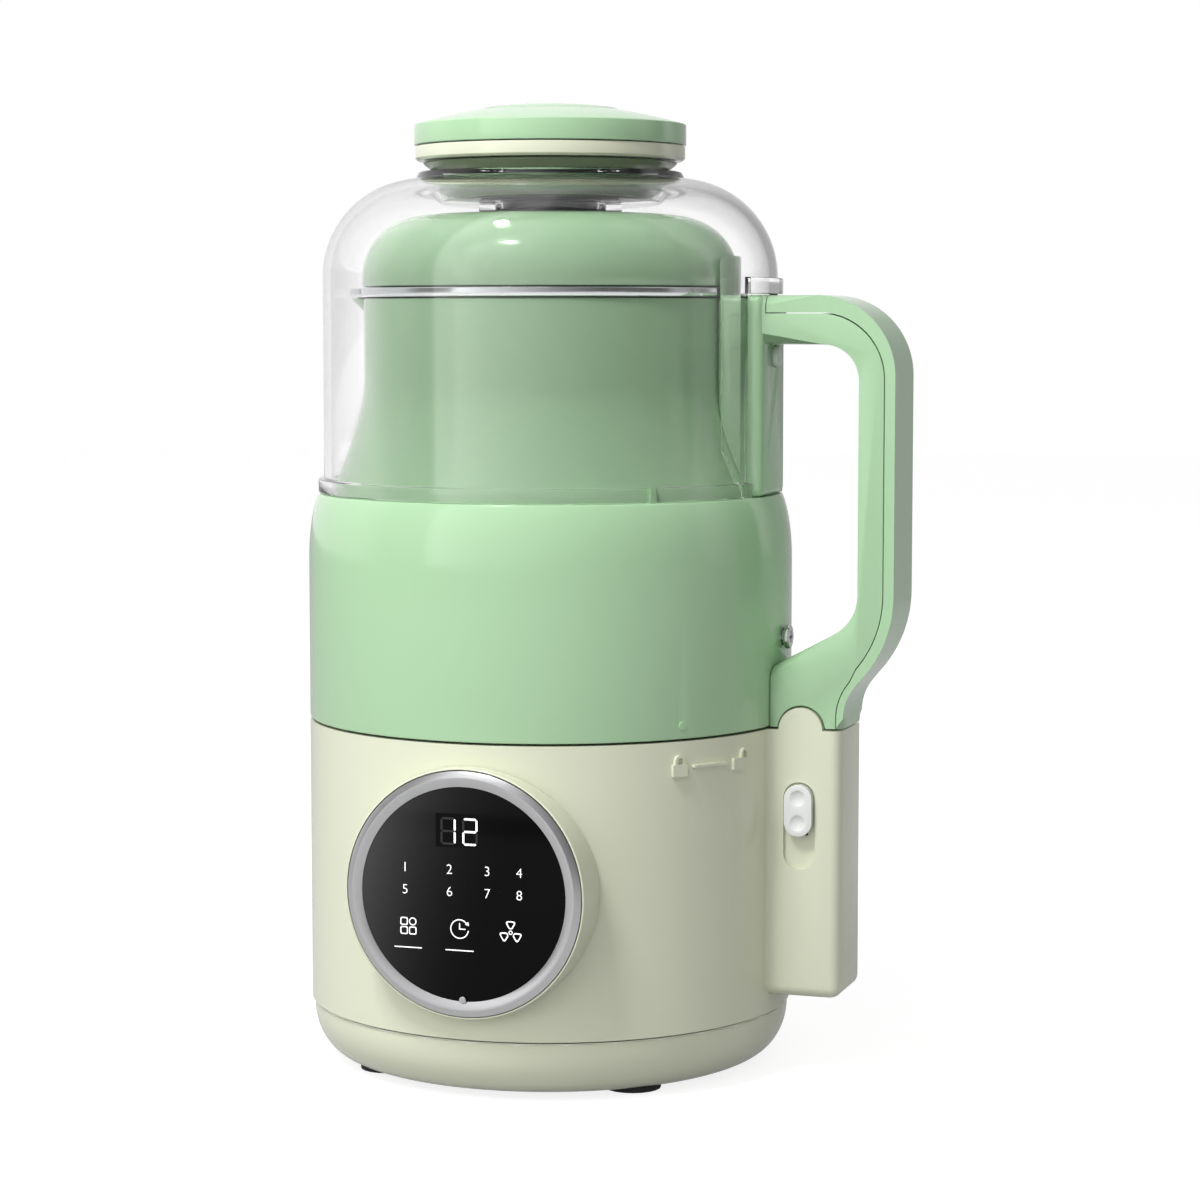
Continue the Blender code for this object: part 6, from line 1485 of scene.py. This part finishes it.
class MAKER_OT_knob(bpy.types.Operator):
    """Make the twist knob: domed green cap, cream ring and tapered bowl"""

    bl_idname = "maker.knob"
    bl_label = "Knob"

    CAP_FOOT = 0.2636
    BAND_TOP = 0.2695
    DISC = 0.0190
    DISC_EDGE = 0.0014
    DISC_HEIGHT = 0.0004
    WALL = 0.0024
    RING = (0.0388, 0.0338)
    RING_FOOT = 0.2592
    BOWL = ((0.0372, 0.2589), (0.0337, 0.2562), (0.0266, 0.2503))
    BOWL_HOLE = 0.0120
    BOWL_WALL = 0.0018

    def execute(self, context):
        sizes = context.scene.maker_cover
        radius = sizes.knob
        crown = sizes.knob_top - self.DISC_HEIGHT - self.BAND_TOP
        sphere = (radius ** 2 + crown ** 2) / (2 * crown)
        under = sphere - self.WALL
        center = (0, self.BAND_TOP + crown - sphere)
        raised = sphere + self.DISC_HEIGHT
        disc_start = math.degrees(math.acos(self.DISC / raised))
        disc_end = math.degrees(math.acos((self.DISC + self.DISC_EDGE) / sphere))
        edge = math.degrees(math.acos(radius / sphere))
        inner_edge = math.degrees(math.acos((radius - self.WALL) / under))
        profile = [(0, sizes.knob_top)] + arc(center, (raised, raised), 90, disc_start, 12)[1:]
        profile += arc(center, (sphere, sphere), disc_end, edge, 24)
        profile += [(radius, self.CAP_FOOT), (radius - self.WALL, self.CAP_FOOT)]
        profile += arc(center, (under, under), inner_edge, 90, 10)[:-1]
        profile += [(0, center[1] + under)]
        cap = turned("Knob_cap", profile, FINE_SIDES, 0.0004)
        dress(cap, "Green gloss", "knob", "green_gloss", "knob_cap")

        outer, inner = self.RING
        top = self.CAP_FOOT - 0.0003
        ring = turned("Knob_ring", [(outer, top), (outer, self.RING_FOOT + 0.0007),
                                    (outer - 0.0008, self.RING_FOOT), (inner, self.RING_FOOT),
                                    (inner, top)], FINE_SIDES, 0.0003)
        dress(ring, "Cream gloss", "knob", "cream_gloss", "knob_ring")

        (top_radius, top), (bend_radius, bend), (floor_radius, floor) = self.BOWL
        wall = self.BOWL_WALL
        bowl = turned("Knob_bowl", [
            (top_radius, top), (bend_radius, bend), (floor_radius, floor), (self.BOWL_HOLE, floor),
            (self.BOWL_HOLE, floor + wall), (floor_radius - wall / 2, floor + wall),
            (bend_radius - wall, bend + wall / 2), (top_radius - 2 * wall, top)], FINE_SIDES, 0.0009)
        # The bowl's finish paints the shade under the cap and ring into its colour.
        dress(bowl, "Bowl gloss with painted shade", "knob", "green_gloss", "knob_bowl")
        return {"FINISHED"}


class MAKER_OT_inner_lid(bpy.types.Operator):
    """Make the green inner lid with its skirt, the groove for its gasket and the grey steam valve"""

    bl_idname = "maker.inner_lid"
    bl_label = "Inner lid"

    CORNER = 0.0180
    HOLE = 0.0143
    FOOT = 0.2233
    SKIRT = (0.0486, 0.0458)
    SKIRT_FOOT = 0.2153
    GROOVE = (0.0474, 0.2203, 0.2167)
    WALL = 0.0020
    VALVE = (0.0138, 0.0114)
    VALVE_TOP = 0.2497
    VALVE_FOOT = 0.2380
    FLANGE = (0.0201, 0.2443, 0.2454)

    def execute(self, context):
        sizes = context.scene.maker_cover
        outer, inner = self.SKIRT
        groove, groove_top, groove_foot = self.GROOVE
        corner = (sizes.lid - self.CORNER, sizes.lid_top - self.CORNER)
        hollow = self.CORNER - self.WALL
        profile = [(self.HOLE, sizes.lid_top)] + arc(corner, (self.CORNER, self.CORNER), 90, 0, 24)
        profile += [(sizes.lid, self.FOOT), (outer, self.FOOT), (outer, groove_top),
                    (groove, groove_top), (groove, groove_foot), (outer, groove_foot),
                    (outer, self.SKIRT_FOOT), (inner, self.SKIRT_FOOT), (inner, self.FOOT + self.WALL)]
        profile += arc(corner, (hollow, hollow), 0, 90, 12)
        profile += [(self.HOLE, sizes.lid_top - self.WALL)]
        lid = turned("Inner_lid", profile, FINEST_SIDES, 0.0005)
        dress(lid, "Green gloss", "lid", "green_gloss", "inner_lid")

        tube, bore = self.VALVE
        flange, flange_foot, flange_top = self.FLANGE
        valve = turned("Steam_valve", [
            (tube, self.VALVE_TOP), (tube, flange_top), (flange, flange_top), (flange, flange_foot),
            (tube, flange_foot), (tube, self.VALVE_FOOT), (bore, self.VALVE_FOOT),
            (bore, self.VALVE_TOP)], LARGE_SIDES, 0.0004)
        dress(valve, "Grey plastic", "lid", "grey", "steam_valve")
        return {"FINISHED"}


# Pieces that keep the model's own shape


class MAKER_OT_working_parts(bpy.types.Operator):
    """Give the pieces that keep their modelled shape their finishes"""

    bl_idname = "maker.working_parts"
    bl_label = "Working parts"

    FINISH_OF = {
        "Cream gloss": ("base_deck",),
        "Grey plastic": ("lock_ring", "cooling_fan"),
        "Rubber": ("foot_1", "foot_2", "foot_3", "foot_4", "shaft_seal", "lid_gasket"),
        "Circuit board": ("control_board", "power_board"),
        "Black plastic": ("display_module", "slide_switch", "contact_block", "contact_plate",
                          "power_inlet", "brush_holder_left", "brush_holder_right",
                          "driven_coupling", "drive_coupling", "jug_base", "temperature_sensor"),
        "Pressed carbon": ("carbon_brush_left", "carbon_brush_right"),
        "Core plates": ("field_core", "armature_core"),
        "Copper wire": ("field_coil_left", "field_coil_right", "upper_winding", "lower_winding",
                        "commutator"),
        "Cast aluminium": ("upper_bracket", "lower_bracket", "heating_plate"),
        "Polished steel": ("upper_bearing", "lower_bearing", "motor_shaft", "blade_bearing",
                           "bearing_nut", "blade_shaft", "blade_nut"),
        "Brushed steel": ("blade_cross",),
    }

    def execute(self, context):
        for finish, names in self.FINISH_OF.items():
            for name in names:
                piece = bpy.data.objects.get(name)
                if piece is None:
                    raise RuntimeError("no object named " + name)
                for slot in piece.material_slots:
                    slot.link = "OBJECT"
                    slot.material = bpy.data.materials[finish]
        return {"FINISHED"}


# Stage


def seen_directly(tree):
    """1 for rays that show a thing in the picture, in a reflection or through glass, otherwise 0."""
    path = tree.nodes.new("ShaderNodeLightPath")
    seen = math_node(tree, "MAXIMUM", path.outputs["Is Camera Ray"], path.outputs["Is Glossy Ray"])
    return math_node(tree, "MULTIPLY", unscattered(tree, path), math_node(
        tree, "MAXIMUM", seen, path.outputs["Is Transmission Ray"]))


def unscattered(tree, path):
    """1 for rays that met no matte surface on their way, otherwise 0."""
    return math_node(tree, "LESS_THAN", path.outputs["Diffuse Depth"], 0.5)


class MAKER_OT_stage(bpy.types.Operator):
    """Set the floor, the soft lights, the white surroundings and the camera"""

    bl_idname = "maker.stage"
    bl_label = "Stage"

    LAMPS = (
        ("Key", (-0.62, -0.91, 0.52), (0.90, 1.05), 4.7),
        ("Top", (-0.28, -0.62, 1.00), (0.20, 0.21), 5.7),
        ("Front", (0.14, -1.14, 0.52), (0.50, 1.05), 2.2),
        ("Strip", (1.16, -0.24, 0.42), (0.34, 0.80), 0.60),
        ("Spot", (-0.17, -0.58, 1.14), (0.12, 0.12), 3.4),
        ("Back", (0.35, 0.90, 0.60), (0.80, 0.50), 1.0),
    )
    AIM = (0.0, 0.0, 0.14)
    SURROUND = 0.34
    ROOM_SIDE = math.radians(10.6)
    ROOM_EDGE = 0.08
    STUDIO_PEAK = 2.2
    STUDIO = (
        (-180, 1.0), (-100, 1.0), (-86, 0.30), (-62, 0.30), (-59, 1.9), (-45, 1.35), (-30, 0.95),
        (0, 0.42), (26, 0.15), (74, 0.15), (78, 0.60), (96, 0.50), (99, 0.25), (108, 0.30),
        (113, 0.9), (122, 0.9), (130, 0.45), (160, 0.45), (180, 1.0))
    FLOOR_COLOUR = 0.35
    FLOOR_GLOW = 0.84
    FLOOR_GLOSS = 0.30
    FLOOR_SIZE = 8.0

    def execute(self, context):
        self.add_camera(context)
        self.add_floor()
        self.add_world(context)
        for name, place, size, power in self.LAMPS:
            self.add_lamp(context, name, place, size, power)
        context.scene.view_settings.view_transform = "Standard"
        return {"FINISHED"}

    def add_camera(self, context):
        sizes = context.scene.maker_stage
        data = bpy.data.cameras.new("Camera")
        data.lens = sizes.lens
        data.sensor_width = 36.0
        data.clip_start = 0.01
        camera = bpy.data.objects.new("Camera", data)
        camera.location = (sizes.distance * math.sin(sizes.azimuth),
                           -sizes.distance * math.cos(sizes.azimuth), sizes.height)
        camera.rotation_euler = (math.pi / 2 - sizes.pitch, 0.0, sizes.azimuth - sizes.yaw)
        context.scene.collection.objects.link(camera)
        context.scene.camera = camera

    def add_floor(self):
        """A floor that looks white and still takes the object's shadow."""
        half = self.FLOOR_SIZE / 2

        def build(work):
            corners = [work.verts.new((x, y, 0.0)) for x, y in
                       ((-half, -half), (half, -half), (half, half), (-half, half))]
            work.faces.new(corners)

        floor = mesh_piece("Floor", build)
        material, tree, shader = blank_finish("Floor white")
        skin = placed(tree, bpy.data.node_groups["Moulded skin"], low_gloss=0.75, high_gloss=0.85)
        tree.links.new(skin.outputs["Roughness"], shader.inputs["Roughness"])
        shader.inputs["Base Color"].default_value = (*[self.FLOOR_COLOUR] * 3, 1.0)
        shader.inputs["Specular IOR Level"].default_value = 0.1
        shader.inputs["Emission Color"].default_value = (1.0, 1.0, 1.0, 1.0)
        path = tree.nodes.new("ShaderNodeLightPath")
        seen = math_node(tree, "MAXIMUM", path.outputs["Is Camera Ray"],
                         path.outputs["Is Transmission Ray"])
        glow = math_node(tree, "MULTIPLY", path.outputs["Is Glossy Ray"], self.FLOOR_GLOSS)
        glow = math_node(tree, "MULTIPLY_ADD", seen, self.FLOOR_GLOW, glow)
        glow = math_node(tree, "MULTIPLY", glow, unscattered(tree, path))
        tree.links.new(glow, shader.inputs["Emission Strength"])
        floor.data.materials.append(material)

    def add_world(self, context):
        """White surroundings where they are seen, dim ones as light, and a studio in reflections."""
        world = bpy.data.worlds.new("Surroundings")
        world.use_nodes = True
        tree = world.node_tree
        background = tree.nodes["Background"]
        background.inputs["Color"].default_value = (1.0, 1.0, 1.0, 1.0)
        white = math_node(tree, "MULTIPLY", seen_directly(tree), self.behind(tree))
        strength = math_node(tree, "MULTIPLY_ADD", white, 1.0 - self.SURROUND, self.SURROUND)
        mirrored = tree.nodes.new("ShaderNodeMix")
        tree.links.new(self.reflected(tree), mirrored.inputs["Factor"])
        tree.links.new(strength, mirrored.inputs["A"])
        tree.links.new(self.studio(tree), mirrored.inputs["B"])
        tree.links.new(mirrored.outputs["Result"], background.inputs["Strength"])
        context.scene.world = world

    def reflected(self, tree):
        """1 for rays that a gloss sent into the surroundings, also through the cover, otherwise 0."""
        path = tree.nodes.new("ShaderNodeLightPath")
        glossy = math_node(tree, "GREATER_THAN", path.outputs["Glossy Depth"], 0.5)
        return math_node(tree, "MULTIPLY", glossy, unscattered(tree, path))

    def studio(self, tree):
        """How bright the surroundings look in a reflection, by their place around the object."""
        azimuth = bpy.context.scene.maker_stage.azimuth
        direction = tree.nodes.new("ShaderNodeTexCoord").outputs["Generated"]
        x, y, _ = directions(tree, direction)
        right = math_node(tree, "MULTIPLY_ADD", x, math.cos(azimuth),
                          math_node(tree, "MULTIPLY", y, math.sin(azimuth)))
        near = math_node(tree, "MULTIPLY_ADD", x, math.sin(azimuth),
                         math_node(tree, "MULTIPLY", y, -math.cos(azimuth)))
        turn = math_node(tree, "ARCTAN2", right, near)
        place = math_node(tree, "MULTIPLY_ADD", turn, 1.0 / FULL_TURN, 0.5)
        ramp = tree.nodes.new("ShaderNodeValToRGB")
        tree.links.new(place, ramp.inputs["Fac"])
        stops = ramp.color_ramp.elements
        for degrees, _ in self.STUDIO[1:-1]:
            stops.new(degrees / 360.0 + 0.5)
        for stop, (degrees, value) in zip(stops, self.STUDIO):
            stop.position = degrees / 360.0 + 0.5
            stop.color = (*[value / self.STUDIO_PEAK] * 3, 1.0)
        return math_node(tree, "MULTIPLY", ramp.outputs["Color"], self.STUDIO_PEAK)

    def behind(self, tree):
        """1 for directions towards the white backdrop behind the object, 0 towards the dim room."""
        direction = tree.nodes.new("ShaderNodeTexCoord").outputs["Generated"]
        x, y, _ = directions(tree, direction)
        across = math_node(tree, "MULTIPLY", x, -math.sin(self.ROOM_SIDE))
        along = math_node(tree, "MULTIPLY_ADD", y, math.cos(self.ROOM_SIDE), across)
        slope = tree.nodes.new("ShaderNodeMapRange")
        slope.interpolation_type = "SMOOTHSTEP"
        slope.inputs["From Min"].default_value = -self.ROOM_EDGE
        slope.inputs["From Max"].default_value = self.ROOM_EDGE
        tree.links.new(along, slope.inputs["Value"])
        return slope.outputs["Result"]

    def add_lamp(self, context, name, place, size, power):
        """A soft lamp that isn't mirrored, apart from the small round one."""
        data = bpy.data.lights.new(name, "AREA")
        data.shape = "DISK" if size[0] == size[1] else "RECTANGLE"
        data.size = size[0]
        if data.shape == "RECTANGLE":
            data.size_y = size[1]
        data.energy = power
        lamp = bpy.data.objects.new(name, data)
        lamp.location = place
        lamp.visible_glossy = data.shape == "DISK"
        lamp.visible_transmission = data.shape == "DISK"
        aim = Vector(self.AIM) - Vector(place)
        lamp.rotation_euler = aim.to_track_quat("-Z", "Y").to_euler()
        context.scene.collection.objects.link(lamp)


# Registration and the script's own run

OPERATORS = (
    MAKER_OT_finishes, MAKER_OT_stage, MAKER_OT_base_housing, MAKER_OT_bottom_pan, MAKER_OT_panel,
    MAKER_OT_panel_signs, MAKER_OT_slide_button, MAKER_OT_jug_jacket, MAKER_OT_steel_cup,
    MAKER_OT_handle_frame, MAKER_OT_handle_cover, MAKER_OT_handle_fixings, MAKER_OT_sound_cover,
    MAKER_OT_knob, MAKER_OT_inner_lid, MAKER_OT_working_parts)


class MAKER_PT_panel(bpy.types.Panel):
    """Lists the sizes and the steps of the soy milk maker"""

    bl_label = "Soy milk maker"
    bl_idname = "MAKER_PT_panel"
    bl_space_type = "VIEW_3D"
    bl_region_type = "UI"
    bl_category = "Soy Milk Maker"

    def draw(self, context):
        layout = self.layout
        for name, settings in SETTINGS.items():
            box = layout.box()
            box.label(text=name.replace("_", " ").capitalize())
            group = getattr(context.scene, name)
            for field in settings.__annotations__:
                box.prop(group, field)
        for operator in OPERATORS:
            layout.operator(operator.bl_idname)


CLASSES = (*SETTINGS.values(), *OPERATORS, MAKER_PT_panel)


def register():
    for item in CLASSES:
        bpy.utils.register_class(item)
    for name, settings in SETTINGS.items():
        setattr(bpy.types.Scene, name, bpy.props.PointerProperty(type=settings))


def unregister():
    for name in SETTINGS:
        delattr(bpy.types.Scene, name)
    for item in reversed(CLASSES):
        bpy.utils.unregister_class(item)


def run_operator(operator):
    family, step = operator.bl_idname.split(".")
    result = getattr(getattr(bpy.ops, family), step)()
    if result != {"FINISHED"}:
        raise RuntimeError(operator.bl_label + " did not finish")


def main():
    register()
    for operator in OPERATORS:
        run_operator(operator)


if __name__ == "__main__":
    main()
